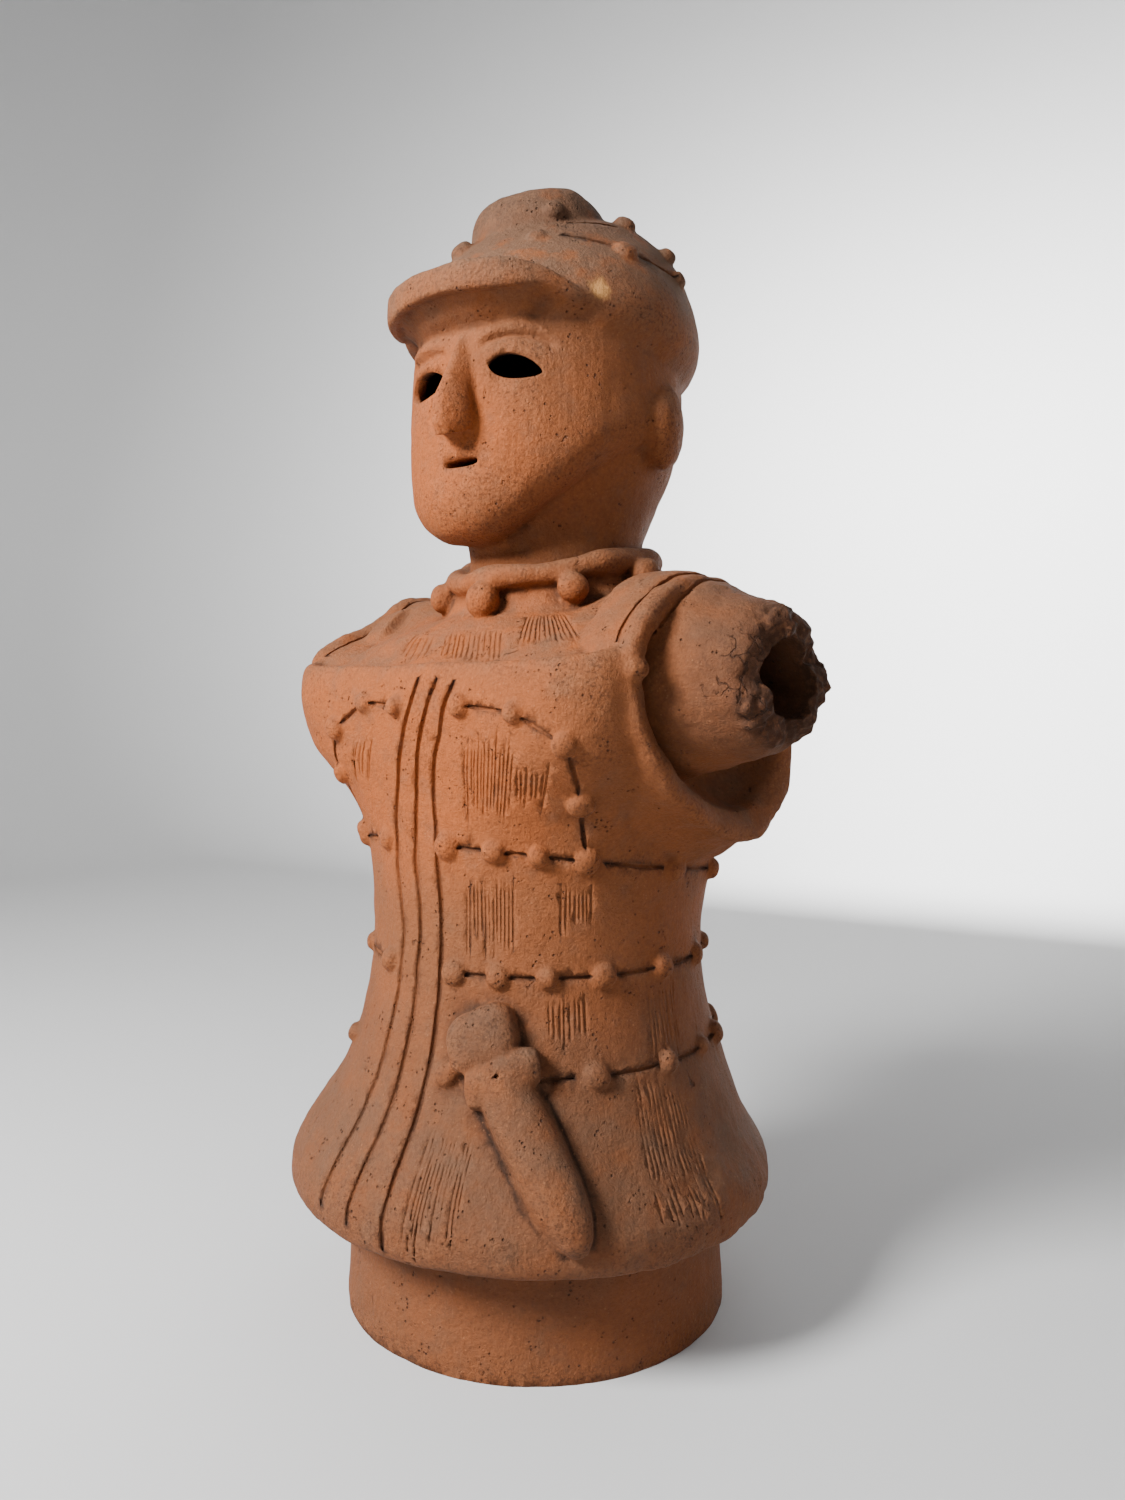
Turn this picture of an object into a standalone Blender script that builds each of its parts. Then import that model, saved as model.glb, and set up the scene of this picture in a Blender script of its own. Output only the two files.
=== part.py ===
# Haniwa figure: a hollow fired-clay bust of a guardsman in riveted armour,
# with a visored helmet, a dagger on the skirt and two broken-off arms.
# It stands on z = 0, faces -Y, and its own left arm points along +X.

import math

import bmesh
import bpy
from mathutils import Matrix, Vector

# Driving dimensions, in metres.
HEIGHT = 0.600
WALL = 0.013
BASE_RADIUS = 0.100
HEM_RADIUS = 0.1285
HEM_HEIGHT = 0.072
WAIST_RADIUS = 0.0895
CHEST_HALF_WIDTH = 0.1185
PLATE_TOP = 0.336
COLLAR_SEAT = 0.374
SHOULDER_LIFT = 0.038
HEM_TILT = 0.012
HEM_SHIFT = 0.003

ARMHOLE_HEIGHT = {1: 0.312, -1: 0.309}
ARMHOLE_RADIUS = {1: 0.067, -1: 0.064}
ARMHOLE_REACH = {1: 0.113, -1: 0.111}
ARMHOLE_LEAN = math.radians(6.5)
ARM_HEIGHT = 0.327
ARM_ROOT_RADIUS = 0.043
ARM_END_RADIUS = 0.0345
ARM_BORE_RADIUS = 0.0185
LEFT_ARM_REACH = 0.163
RIGHT_ARM_REACH = 0.159
RIGHT_ARM_DROOP = math.radians(12.0)

NECK_CENTRE = Vector((0.0015, 0.0130, 0.0))
NECK_RADIUS = 0.047
HEAD_CENTRE = Vector((0.0, 0.0095, 0.0))
HEAD_HALF_WIDTH = 0.074
HEAD_HALF_DEPTH = 0.078
HEAD_TURN = math.radians(8.0)
CHIN_HEIGHT = 0.402
EYE_HEIGHT = 0.482
MOUTH_HEIGHT = 0.436
NOSE_HEIGHT = 0.473
EAR_HEIGHT = 0.464

HELMET_HEIGHT = 0.512
HELMET_TILT = math.radians(8.0)
VISOR_RADIUS = 0.0705
VISOR_SHIFT = 0.031
VISOR_HEIGHT = 0.511
VISOR_TILT = math.radians(15.5)
VISOR_ROLL = math.radians(-4.5)

RIVET_RADIUS = 0.0060
RIVET_RISE = 0.0042
BEAD_RADIUS = 0.0088
TORSO_STEPS = 64
FOOT_TRIM = 0.008          # clay left below the foot, sliced off flat at z = 0
MERGE_SIZE = 0.0020        # grid on which the added clay melts into the body
OUTSIDE_TRIANGLES = 8000
CLAY_COLOUR = (0.27, 0.098, 0.044, 1.0)

# Outer line of the torso at its side, from the collar down to the foot.
TORSO_LINE = (
    (0.0, COLLAR_SEAT),
    (0.046, COLLAR_SEAT),
    (0.056, COLLAR_SEAT - 0.006),
    (0.074, PLATE_TOP + 0.020),
    (0.092, PLATE_TOP + 0.007),
    (0.104, PLATE_TOP - 0.001),
    (0.1075, PLATE_TOP - 0.0025),
    (0.1100, PLATE_TOP),
    (0.1135, PLATE_TOP - 0.0020),
    (0.1165, PLATE_TOP - 0.0070),
    (CHEST_HALF_WIDTH, PLATE_TOP - 0.018),
    (0.1175, 0.307),
    (0.1140, 0.293),
    (0.1090, 0.282),
    (0.1030, 0.270),
    (0.0970, 0.257),
    (0.0925, 0.243),
    (0.0905, 0.228),
    (WAIST_RADIUS, 0.210),
    (WAIST_RADIUS, 0.193),
    (0.0910, 0.172),
    (0.0945, 0.152),
    (0.0985, 0.138),
    (0.1060, 0.1185),
    (0.1165, 0.0985),
    (0.1245, HEM_HEIGHT + 0.013),
    (0.1280, HEM_HEIGHT + 0.005),
    (HEM_RADIUS, HEM_HEIGHT - 0.003),
    (0.1265, HEM_HEIGHT - 0.010),
    (0.1220, HEM_HEIGHT - 0.0125),
    (0.1080, HEM_HEIGHT - 0.008),
    (0.0988, HEM_HEIGHT - 0.003),
    (0.0985, 0.050),
    (0.0995, 0.020),
    (BASE_RADIUS, 0.004),
    (BASE_RADIUS, -FOOT_TRIM),
    (0.0, -FOOT_TRIM),
)

# Height, depth over half width in front and behind, and squareness of the
# torso's level sections.
TORSO_SECTIONS = (
    (0.000, 1.000, 1.000, 2.0),
    (0.141, 1.000, 1.000, 2.0),
    (0.195, 0.960, 0.980, 2.05),
    (0.215, 0.950, 1.060, 2.1),
    (0.231, 0.940, 1.085, 2.15),
    (0.257, 0.885, 1.060, 2.4),
    (0.270, 0.845, 1.020, 2.8),
    (0.282, 0.805, 0.980, 3.3),
    (0.302, 0.770, 0.920, 4.0),
    (PLATE_TOP, 0.762, 0.840, 4.3),
    (0.348, 0.820, 0.880, 3.4),
    (0.360, 0.920, 0.940, 2.5),
    (COLLAR_SEAT, 1.000, 1.000, 2.0),
)

# Line of the hollow inside the torso, from the neck down past the open foot.
CAVITY_LINE = (
    (0.0, 0.360),
    (0.032, 0.360),
    (0.060, 0.348),
    (0.076, 0.328),
    (0.079, 0.300),
    (0.079, 0.262),
    (0.076, 0.230),
    (0.0755, 0.200),
    (0.0785, 0.162),
    (0.0850, 0.125),
    (BASE_RADIUS - WALL, 0.100),
    (BASE_RADIUS - WALL, -0.5 * FOOT_TRIM),
    (0.0, -0.5 * FOOT_TRIM),
)

# Line of the hollow inside the head and neck.
HEAD_CAVITY_LINE = (
    (0.0, 0.586),
    (0.020, 0.582),
    (0.040, 0.565),
    (0.055, 0.543),
    (0.061, 0.515),
    (0.062, 0.475),
    (0.059, 0.442),
    (0.047, 0.420),
    (0.034, 0.408),
    (0.034, 0.345),
    (0.0, 0.345),
)

# Rivets of the torso as (azimuth in degrees, height): the two breast curves
# that frame the front opening, then three rows that run round the body.
LEFT_BREAST_RIVETS = ((15.9, 0.3155), (30.5, 0.3115), (42.3, 0.296), (49.9, 0.2695), (56.2, 0.2405))
RIGHT_BREAST_RIVETS = ((-8.5, 0.3145), (-18.6, 0.3165), (-30.5, 0.303), (-35.0, 0.277), (-40.0, 0.248))
RIVET_ROWS = (
    (0.245, 0.229, (-17, 13, 28, 42, 95, 119, 143, 167, 191, 215, 239, 263)),
    (0.186, 0.187, (-44, -14, 16, 30, 45, 63, 87, 108, 130, 152, 174, 196, 218, 240, 262, 285)),
    (0.140, 0.144, (-38, 17, 60, 84, 102, 115, 137, 159, 181, 203, 225, 247, 269, 292)),
)

# Rivets of the helmet as (azimuth in degrees, height up its tilted bowl).
HELMET_RIVETS = (
    (-38, 0.031), (29, 0.0315), (66, 0.027), (121, 0.039), (165, 0.040), (205, 0.040), (250, 0.036), (290, 0.032),
    (40, 0.052), (118, 0.066), (138, 0.053), (190, 0.066), (250, 0.060), (310, 0.052),
)

# Azimuths of the clay pellets that hang below the collar roll, in degrees.
BEAD_AZIMUTHS = (-47, 9, 51, 96, 145, 192, 232, 272)

# Outer line of the helmet's bowl in its own tilted frame.
HELMET_LINE = (
    (0.0, 0.0760),
    (0.026, 0.0730),
    (0.045, 0.0640),
    (0.0580, 0.0480),
    (0.0710, 0.0300),
    (0.0798, 0.0120),
    (0.0830, -0.0020),
    (0.0815, -0.0070),
    (0.0770, -0.0085),
    (0.060, -0.0050),
    (0.0, -0.0050),
)


def clear_scene():
    for item in list(bpy.data.objects):
        bpy.data.objects.remove(item, do_unlink=True)


def new_collection(name):
    collection = bpy.data.collections.new(name)
    bpy.context.scene.collection.children.link(collection)
    return collection


def clay_material():
    material = bpy.data.materials.new("terracotta")
    material.use_nodes = True
    shader = material.node_tree.nodes["Principled BSDF"]
    shader.inputs["Base Color"].default_value = CLAY_COLOUR
    shader.inputs["Roughness"].default_value = 0.85
    shader.inputs["Metallic"].default_value = 0.0
    return material


def smooth_step(value):
    value = min(max(value, 0.0), 1.0)
    return value * value * (3.0 - 2.0 * value)


def interpolate(rows, key):
    """The row between the two rows of a table whose first column spans key."""
    if key <= rows[0][0]:
        return rows[0]
    for low, high in zip(rows, rows[1:]):
        if key <= high[0]:
            share = (key - low[0]) / (high[0] - low[0])
            return tuple(a + share * (b - a) for a, b in zip(low, high))
    return rows[-1]


def link_mesh(name, mesh, collection):
    """Object of a mesh in flat triangles, which a Boolean reads exactly."""
    shell = bmesh.new()
    shell.from_mesh(mesh)
    bmesh.ops.triangulate(shell, faces=shell.faces)
    shell.to_mesh(mesh)
    shell.free()
    item = bpy.data.objects.new(name, mesh)
    collection.objects.link(item)
    if collection.name != "haniwa figure":
        item.hide_render = True
        item.display_type = "WIRE"
    return item


def turned_mesh(name, line, steps):
    """Closed mesh of a line of (radius, height) points turned about Z."""
    profile = bpy.data.meshes.new(name + " line")
    points = [(radius, 0.0, height) for radius, height in line]
    edges = [(i, i + 1) for i in range(len(points) - 1)]
    profile.from_pydata(points, edges, [])
    item = bpy.data.objects.new(name + " line", profile)
    bpy.context.scene.collection.objects.link(item)
    screw = item.modifiers.new("turn", "SCREW")
    screw.axis = "Z"
    screw.steps = steps
    screw.render_steps = steps
    screw.use_merge_vertices = True
    screw.merge_threshold = 0.0001
    graph = bpy.context.evaluated_depsgraph_get()
    mesh = bpy.data.meshes.new_from_object(item.evaluated_get(graph))
    mesh.name = name
    bpy.data.objects.remove(item, do_unlink=True)
    bpy.data.meshes.remove(profile)
    return mesh


def curve_mesh(name, points, radii, sides):
    """Closed mesh of a tube through points, with its own radius at each."""
    curve = bpy.data.curves.new(name, "CURVE")
    curve.dimensions = "3D"
    curve.bevel_depth = 1.0
    curve.bevel_resolution = sides
    curve.use_fill_caps = True
    spline = curve.splines.new("POLY")
    spline.points.add(len(points) - 1)
    for knot, point, radius in zip(spline.points, points, radii):
        knot.co = (*point, 1.0)
        knot.radius = radius
    item = bpy.data.objects.new(name, curve)
    bpy.context.scene.collection.objects.link(item)
    graph = bpy.context.evaluated_depsgraph_get()
    mesh = bpy.data.meshes.new_from_object(item.evaluated_get(graph))
    bpy.data.objects.remove(item, do_unlink=True)
    shell = bmesh.new()
    shell.from_mesh(mesh)
    bmesh.ops.remove_doubles(shell, verts=shell.verts, dist=0.00005)
    bmesh.ops.recalc_face_normals(shell, faces=shell.faces)
    shell.to_mesh(mesh)
    shell.free()
    return mesh


def add_ball(shell, centre, radii, turn, columns, rows):
    """Adds an ellipsoid to a bmesh; turn is its rotation matrix."""
    place = Matrix.Translation(centre) @ turn.to_4x4() @ Matrix.Diagonal((*radii, 1.0))
    bmesh.ops.create_uvsphere(
        shell, u_segments=columns, v_segments=rows, radius=1.0, matrix=place)


def ball_object(name, centre, radii, turn, columns, rows, collection):
    shell = bmesh.new()
    add_ball(shell, centre, radii, turn, columns, rows)
    mesh = bpy.data.meshes.new(name)
    shell.to_mesh(mesh)
    shell.free()
    return link_mesh(name, mesh, collection)


def move_points(mesh, rule):
    for vertex in mesh.vertices:
        vertex.co = rule(vertex.co)


def torso_point(azimuth, radius, height):
    """Point of the torso's form for a side radius and a height. Azimuth 0 is
    the front, and a quarter turn from it is the left side."""
    _, front_ratio, back_ratio, power = interpolate(TORSO_SECTIONS, height)
    across = abs(math.sin(azimuth))
    along = abs(math.cos(azimuth))
    reach = (across ** power + along ** power) ** (-1.0 / power)
    ratio = front_ratio if math.cos(azimuth) > 0.0 else back_ratio
    x = radius * reach * math.sin(azimuth)
    y = -radius * ratio * reach * math.cos(azimuth)
    lift = SHOULDER_LIFT * across ** 8
    lift *= smooth_step((height - 0.288) / 0.045)
    lift *= 1.0 - smooth_step((height - PLATE_TOP) / (COLLAR_SEAT - PLATE_TOP))
    skirt = smooth_step((radius - BASE_RADIUS) / 0.020) * smooth_step((0.160 - height) / 0.030)
    drop = HEM_TILT * (x + y) * skirt
    shift = 0.7 * HEM_SHIFT * skirt
    return Vector((x - shift, y - shift, height + lift - drop))


def torso_surface(azimuth, height):
    """Point on the outside of the torso at an azimuth and height."""
    outside = [(z, r) for r, z in TORSO_LINE[7:28]]
    _, radius = interpolate(outside[::-1], height)
    return torso_point(azimuth, radius, height)


def torso_normal(azimuth, height):
    step = 0.004
    along = torso_surface(azimuth + step / BASE_RADIUS, height)
    along -= torso_surface(azimuth - step / BASE_RADIUS, height)
    up = torso_surface(azimuth, height + step) - torso_surface(azimuth, height - step)
    return along.cross(up).normalized()


def form_torso(collection):
    mesh = turned_mesh("haniwa_figure", TORSO_LINE, TORSO_STEPS)

    def rule(point):
        azimuth = math.atan2(point.x, -point.y)
        return torso_point(azimuth, point.xy.length, point.z)

    move_points(mesh, rule)
    return link_mesh("haniwa_figure", mesh, collection)


def form_cavity(collection):
    mesh = turned_mesh("torso hollow", CAVITY_LINE, 26)

    def rule(point):
        azimuth = math.atan2(point.x, -point.y)
        radius = point.xy.length
        _, ratio, _, _ = interpolate(TORSO_SECTIONS, point.z)
        chest = smooth_step((point.z - 0.235) / 0.030)
        depth = ratio * (1.0 - chest) + chest * 0.95
        return Vector((radius * math.sin(azimuth), -radius * depth * math.cos(azimuth), point.z))

    move_points(mesh, rule)
    return link_mesh("torso hollow", mesh, collection)


def side_matrix(side, reach, height, lean):
    """Frame whose Z axis points out of the body's side along +X or -X."""
    turn = Matrix.Rotation(side * (math.pi / 2.0 - lean), 4, "Y")
    return Matrix.Translation((side * reach, 0.0, height)) @ turn


def form_armhole(side, collection):
    """Raised ring round the arm, leaning in at its top."""
    radius = ARMHOLE_RADIUS[side]
    line = (
        (0.0, 0.004),
        (radius - 0.011, 0.004),
        (radius - 0.006, 0.0065),
        (radius - 0.001, 0.0035),
        (radius, -0.003),
        (radius - 0.0005, -0.010),
        (radius - 0.005, -0.022),
        (radius - 0.016, -0.042),
        (0.0, -0.042),
    )
    mesh = turned_mesh("armhole ring", line, 28)
    frame = side_matrix(side, ARMHOLE_REACH[side], ARMHOLE_HEIGHT[side], ARMHOLE_LEAN)
    move_points(mesh, lambda point: frame @ point)
    return link_mesh("armhole ring", mesh, collection)


def form_armhole_recess(side, collection):
    """Funnel between the armhole ring and the root of the arm."""
    radius = ARMHOLE_RADIUS[side]
    line = (
        (0.0, 0.012),
        (radius - 0.004, 0.012),
        (radius - 0.012, 0.002),
        (radius - 0.017, -0.008),
        (radius - 0.023, -0.018),
        (0.030, -0.020),
        (0.0, -0.020),
    )
    mesh = turned_mesh("armhole recess", line, 28)
    frame = side_matrix(side, ARMHOLE_REACH[side], ARMHOLE_HEIGHT[side], ARMHOLE_LEAN)
    move_points(mesh, lambda point: frame @ point)
    return link_mesh("armhole recess", mesh, collection)


def form_arm(side, reach, droop, collection):
    """Stump of an upper arm with a ragged broken end."""
    length = reach - 0.080
    line = (
        (0.0, length - 0.002),
        (ARM_END_RADIUS - 0.008, length - 0.001),
        (ARM_END_RADIUS - 0.001, length - 0.004),
        (ARM_END_RADIUS + 0.001, length - 0.012),
        (ARM_END_RADIUS + 0.006, length - 0.035),
        (ARM_ROOT_RADIUS, 0.022),
        (ARM_ROOT_RADIUS + 0.002, 0.0),
        (0.0, -0.004),
    )
    mesh = turned_mesh("arm stump", line, 22)
    frame = side_matrix(side, 0.080, ARM_HEIGHT, -droop)

    def rule(point):
        turn = math.atan2(point.y, point.x)
        ragged = 0.0026 * math.sin(3.0 * turn + side) + 0.0018 * math.sin(7.0 * turn)
        share = smooth_step((point.z - length + 0.014) / 0.010) * min(1.0, point.xy.length / 0.02)
        return frame @ Vector((point.x, point.y, point.z - (0.003 + ragged) * share))

    move_points(mesh, rule)
    return link_mesh("arm stump", mesh, collection)


def form_arm_bore(side, droop, collection):
    line = (
        (0.0, 0.120),
        (ARM_BORE_RADIUS, 0.120),
        (ARM_BORE_RADIUS, 0.050),
        (ARM_BORE_RADIUS + 0.002, -0.025),
        (0.0, -0.025),
    )
    mesh = turned_mesh("arm bore", line, 18)
    frame = side_matrix(side, 0.080, ARM_HEIGHT, -droop)
    move_points(mesh, lambda point: frame @ point)
    return link_mesh("arm bore", mesh, collection)


def form_neck(collection):
    """Neck, wider behind where it runs up into the back of the head."""
    line = (
        (0.0, 0.450),
        (0.0600, 0.450),
        (0.0560, 0.432),
        (NECK_RADIUS + 0.0015, 0.408),
        (NECK_RADIUS, 0.392),
        (NECK_RADIUS + 0.003, 0.366),
        (0.0, 0.366),
    )
    mesh = turned_mesh("neck", line, 24)
    move_points(mesh, lambda point: point + NECK_CENTRE)
    return link_mesh("neck", mesh, collection)


def face_matrix():
    return Matrix.Translation(HEAD_CENTRE) @ Matrix.Rotation(HEAD_TURN, 4, "Z")


def form_head(collection):
    line = (
        (0.0, 0.540),
        (0.690, 0.535),
        (0.910, 0.515),
        (0.985, 0.495),
        (1.000, 0.472),
        (0.993, 0.450),
        (0.945, 0.433),
        (0.820, CHIN_HEIGHT + 0.016),
        (0.620, CHIN_HEIGHT + 0.005),
        (0.380, CHIN_HEIGHT),
        (0.0, CHIN_HEIGHT),
    )
    mesh = turned_mesh("head", line, 30)
    frame = face_matrix()

    def rule(point):
        nape = smooth_step(point.y) * smooth_step((0.480 - point.z) / 0.050)
        size = 1.0 - 0.14 * nape
        return frame @ Vector((
            point.x * HEAD_HALF_WIDTH * size, point.y * HEAD_HALF_DEPTH * size, point.z))

    move_points(mesh, rule)
    return link_mesh("head", mesh, collection)


def form_nose(collection):
    shell = bmesh.new()
    bmesh.ops.create_uvsphere(shell, u_segments=16, v_segments=10, radius=1.0)
    frame = face_matrix()
    for vertex in shell.verts:
        share = 0.5 - 0.5 * vertex.co.z
        width = 0.0060 + 0.0075 * share ** 0.8
        depth = 0.0070 + 0.0145 * share
        local = Vector((
            vertex.co.x * width,
            -HEAD_HALF_DEPTH + 0.005 + vertex.co.y * depth,
            NOSE_HEIGHT + 0.007 + 0.026 * vertex.co.z))
        vertex.co = frame @ local
    mesh = bpy.data.meshes.new("nose")
    shell.to_mesh(mesh)
    shell.free()
    return link_mesh("nose", mesh, collection)


def form_ear(side, collection):
    turn = Matrix.Rotation(HEAD_TURN, 3, "Z") @ Matrix.Rotation(side * math.radians(12.0), 3, "Z")
    azimuth = HEAD_TURN + side * math.radians(95.0)
    reach = HEAD_HALF_WIDTH
    centre = HEAD_CENTRE + Vector((reach * math.sin(azimuth), -reach * math.cos(azimuth), EAR_HEIGHT))
    return ball_object("ear", centre, (0.0120, 0.014, 0.0190), turn, 14, 10, collection)


def helmet_matrix():
    place = Matrix.Translation((0.0, 0.002, HELMET_HEIGHT))
    return face_matrix() @ place @ Matrix.Rotation(-HELMET_TILT, 4, "X")


def form_helmet(collection):
    """Bowl of the helmet in its own tilted frame, with a rolled lower edge."""
    mesh = turned_mesh("helmet", HELMET_LINE, 34)
    frame = helmet_matrix()
    move_points(mesh, lambda point: frame @ point)
    return link_mesh("helmet", mesh, collection)


def form_crown(collection):
    """Small raised bowl that tops the helmet."""
    line = (
        (0.0, HEIGHT),
        (0.010, HEIGHT - 0.0015),
        (0.018, HEIGHT - 0.005),
        (0.0255, HEIGHT - 0.0105),
        (0.032, HEIGHT - 0.018),
        (0.035, HEIGHT - 0.027),
        (0.037, HEIGHT - 0.040),
        (0.037, HEIGHT - 0.050),
        (0.0, HEIGHT - 0.050),
    )
    mesh = turned_mesh("crown", line, 20)
    move_points(mesh, lambda point: point + HEAD_CENTRE - Vector((0.0, 0.006, 0.0)))
    return link_mesh("crown", mesh, collection)


def form_visor(collection):
    line = (
        (0.0, 0.024),
        (0.030, 0.016),
        (0.050, 0.0078),
        (0.063, 0.0046),
        (0.0685, 0.0036),
        (VISOR_RADIUS, 0.0),
        (0.0690, -0.0032),
        (0.0645, -0.0044),
        (0.0550, -0.0060),
        (0.0460, -0.0100),
        (0.0400, -0.0160),
        (0.0300, -0.0220),
        (0.0, -0.0220),
    )
    mesh = turned_mesh("visor", line, 32)
    frame = face_matrix() @ Matrix.Translation((0.0, -VISOR_SHIFT, VISOR_HEIGHT))
    frame = frame @ Matrix.Rotation(VISOR_ROLL, 4, "Y") @ Matrix.Rotation(-VISOR_TILT, 4, "X")
    move_points(mesh, lambda point: frame @ point)
    return link_mesh("visor", mesh, collection)


def collar_point(azimuth):
    """Centre line of the collar roll, which stands higher behind."""
    radius = 0.054
    x = radius * math.sin(azimuth)
    y = -radius * math.cos(azimuth)
    return NECK_CENTRE + Vector((x, y, 0.388 - 0.08 * x + 0.27 * y))


def form_collar(collection):
    shell = bmesh.new()
    ring = bmesh.ops.create_circle(shell, cap_ends=False, radius=0.0065, segments=8)["verts"]
    bmesh.ops.rotate(shell, verts=ring, matrix=Matrix.Rotation(math.pi / 2.0, 3, "X"))
    bmesh.ops.translate(shell, verts=ring, vec=(0.054, 0.0, 0.0))
    bmesh.ops.spin(
        shell, geom=shell.edges[:], axis=(0.0, 0.0, 1.0), cent=(0.0, 0.0, 0.0),
        angle=2.0 * math.pi, steps=26, use_merge=True)
    bmesh.ops.recalc_face_normals(shell, faces=shell.faces)
    for vertex in shell.verts:
        azimuth = math.atan2(vertex.co.x, -vertex.co.y)
        centre = collar_point(azimuth)
        spoke = Vector((math.sin(azimuth), -math.cos(azimuth), 0.0))
        offset = vertex.co.xy.length - 0.054
        vertex.co = centre + spoke * offset + Vector((0.0, 0.0, vertex.co.z))
    mesh = bpy.data.meshes.new("collar roll")
    shell.to_mesh(mesh)
    shell.free()
    return link_mesh("collar roll", mesh, collection)


def form_seat(collection):
    """Clay packed under the collar roll, down to the yoke."""
    line = (
        (0.0, 0.404),
        (0.050, 0.404),
        (0.0550, 0.396),
        (0.0590, 0.380),
        (0.0660, 0.362),
        (0.0780, 0.346),
        (0.0, 0.346),
    )
    mesh = turned_mesh("collar seat", line, 24)

    def rule(point):
        if point.z > 0.375:
            point.z += -0.08 * point.x + 0.27 * point.y - 0.014
        return point + NECK_CENTRE

    move_points(mesh, rule)
    return link_mesh("collar seat", mesh, collection)


def axis_turn(direction, up):
    """Rotation whose Z axis is direction and whose Y axis leans to up."""
    outward = direction.normalized()
    sideways = up.cross(outward).normalized()
    upward = outward.cross(sideways)
    return Matrix((sideways, upward, outward)).transposed()


def add_rivet(shell, point, normal):
    turn = axis_turn(normal, Vector((0.0, 0.0, 1.0)))
    add_ball(shell, point - normal * 0.0002, (RIVET_RADIUS, RIVET_RADIUS, RIVET_RISE), turn, 7, 4)


def torso_rivet(shell, azimuth, height):
    azimuth = math.radians(azimuth)
    add_rivet(shell, torso_surface(azimuth, height), torso_normal(azimuth, height))


def helmet_rivet(shell, azimuth, height):
    azimuth = math.radians(azimuth)
    rising = [(z, r) for r, z in HELMET_LINE[6::-1]]
    _, radius = interpolate(rising, height)
    _, wider = interpolate(rising, height - 0.004)
    spoke = Vector((math.sin(azimuth), -math.cos(azimuth), 0.0))
    slope = Vector((0.0, 0.0, (wider - radius) / 0.004))
    frame = helmet_matrix()
    point = frame @ (spoke * radius + Vector((0.0, 0.0, height)))
    normal = (frame.to_3x3() @ (spoke + slope)).normalized()
    add_rivet(shell, point, normal)


def form_rivets(collection):
    shell = bmesh.new()
    for azimuth, height in LEFT_BREAST_RIVETS + RIGHT_BREAST_RIVETS:
        torso_rivet(shell, azimuth, height)
    for front_height, back_height, azimuths in RIVET_ROWS:
        for azimuth in azimuths:
            share = 0.5 - 0.5 * math.cos(math.radians(azimuth))
            torso_rivet(shell, azimuth, front_height + share * (back_height - front_height))
    for azimuth, height in HELMET_RIVETS:
        helmet_rivet(shell, azimuth, height)
    mesh = bpy.data.meshes.new("rivets")
    shell.to_mesh(mesh)
    shell.free()
    return link_mesh("rivets", mesh, collection)


def form_beads(collection):
    shell = bmesh.new()
    for degrees in BEAD_AZIMUTHS:
        centre = collar_point(math.radians(degrees))
        spoke = (centre - NECK_CENTRE).xy.normalized().to_3d()
        centre += spoke * 0.006 - Vector((0.0, 0.0, 0.013))
        add_ball(shell, centre, (BEAD_RADIUS, BEAD_RADIUS, BEAD_RADIUS), Matrix.Identity(3), 10, 6)
    mesh = bpy.data.meshes.new("collar beads")
    shell.to_mesh(mesh)
    shell.free()
    return link_mesh("collar beads", mesh, collection)


def on_skirt(degrees, height, rise):
    azimuth = math.radians(degrees)
    return torso_surface(azimuth, height) + torso_normal(azimuth, height) * rise


def form_dagger(collection):
    """Sheathed dagger that slants down the skirt, with its guard and pommel."""
    route = ((34.0, 0.142), (39.0, 0.122), (44.0, 0.104), (48.5, 0.089), (50.5, 0.0795))
    points = [on_skirt(degrees, height, -0.001) for degrees, height in route]
    sheath = curve_mesh("sheath", points, (0.0125, 0.0130, 0.0130, 0.0125, 0.0090), 3)
    link_mesh("sheath", sheath, collection)

    band = ((25.5, 0.1350), (30.0, 0.1385), (37.0, 0.1435), (44.0, 0.1480))
    points = [on_skirt(degrees, height, 0.0060) for degrees, height in band]
    guard = curve_mesh("guard", points, (0.0070, 0.0080, 0.0080, 0.0070), 2)
    link_mesh("guard", guard, collection)

    middle = on_skirt(29.0, 0.1585, 0.003)
    outward = torso_normal(math.radians(29.0), 0.1585)
    along = on_skirt(26.0, 0.172, 0.0) - on_skirt(33.0, 0.142, 0.0)
    shell = bmesh.new()
    place = Matrix.Translation(middle) @ axis_turn(outward, along).to_4x4()
    place = place @ Matrix.Diagonal((0.027, 0.028, 0.026, 1.0))
    bmesh.ops.create_cube(shell, size=1.0, matrix=place)
    bmesh.ops.bevel(
        shell, geom=shell.edges[:], offset=0.0045, segments=2, profile=0.5, affect="EDGES")
    mesh = bpy.data.meshes.new("pommel")
    shell.to_mesh(mesh)
    shell.free()
    link_mesh("pommel", mesh, collection)


def form_slot(name, azimuth, height, half_width, rise, fall, lean, collection):
    """Lens-shaped cutter through the face, pointing in at the head's axis."""
    shell = bmesh.new()
    bmesh.ops.create_cone(
        shell, cap_ends=True, segments=14, radius1=1.0, radius2=1.0, depth=0.060)
    for vertex in shell.verts:
        size = rise if vertex.co.y > 0.0 else fall
        vertex.co.y = vertex.co.y * abs(vertex.co.y) ** 0.4 * size
        vertex.co.x *= half_width
    azimuth = math.radians(azimuth)
    outward = Vector((math.sin(azimuth), -math.cos(azimuth), 0.0))
    place = Matrix.Translation(outward * 0.072 + Vector((0.0, 0.0, height)))
    turn = axis_turn(outward, Vector((0.0, 0.0, 1.0))).to_4x4()
    frame = face_matrix() @ place @ turn @ Matrix.Rotation(math.radians(lean), 4, "Z")
    bmesh.ops.transform(shell, matrix=frame, verts=shell.verts)
    mesh = bpy.data.meshes.new(name)
    shell.to_mesh(mesh)
    shell.free()
    return link_mesh(name, mesh, collection)


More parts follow.
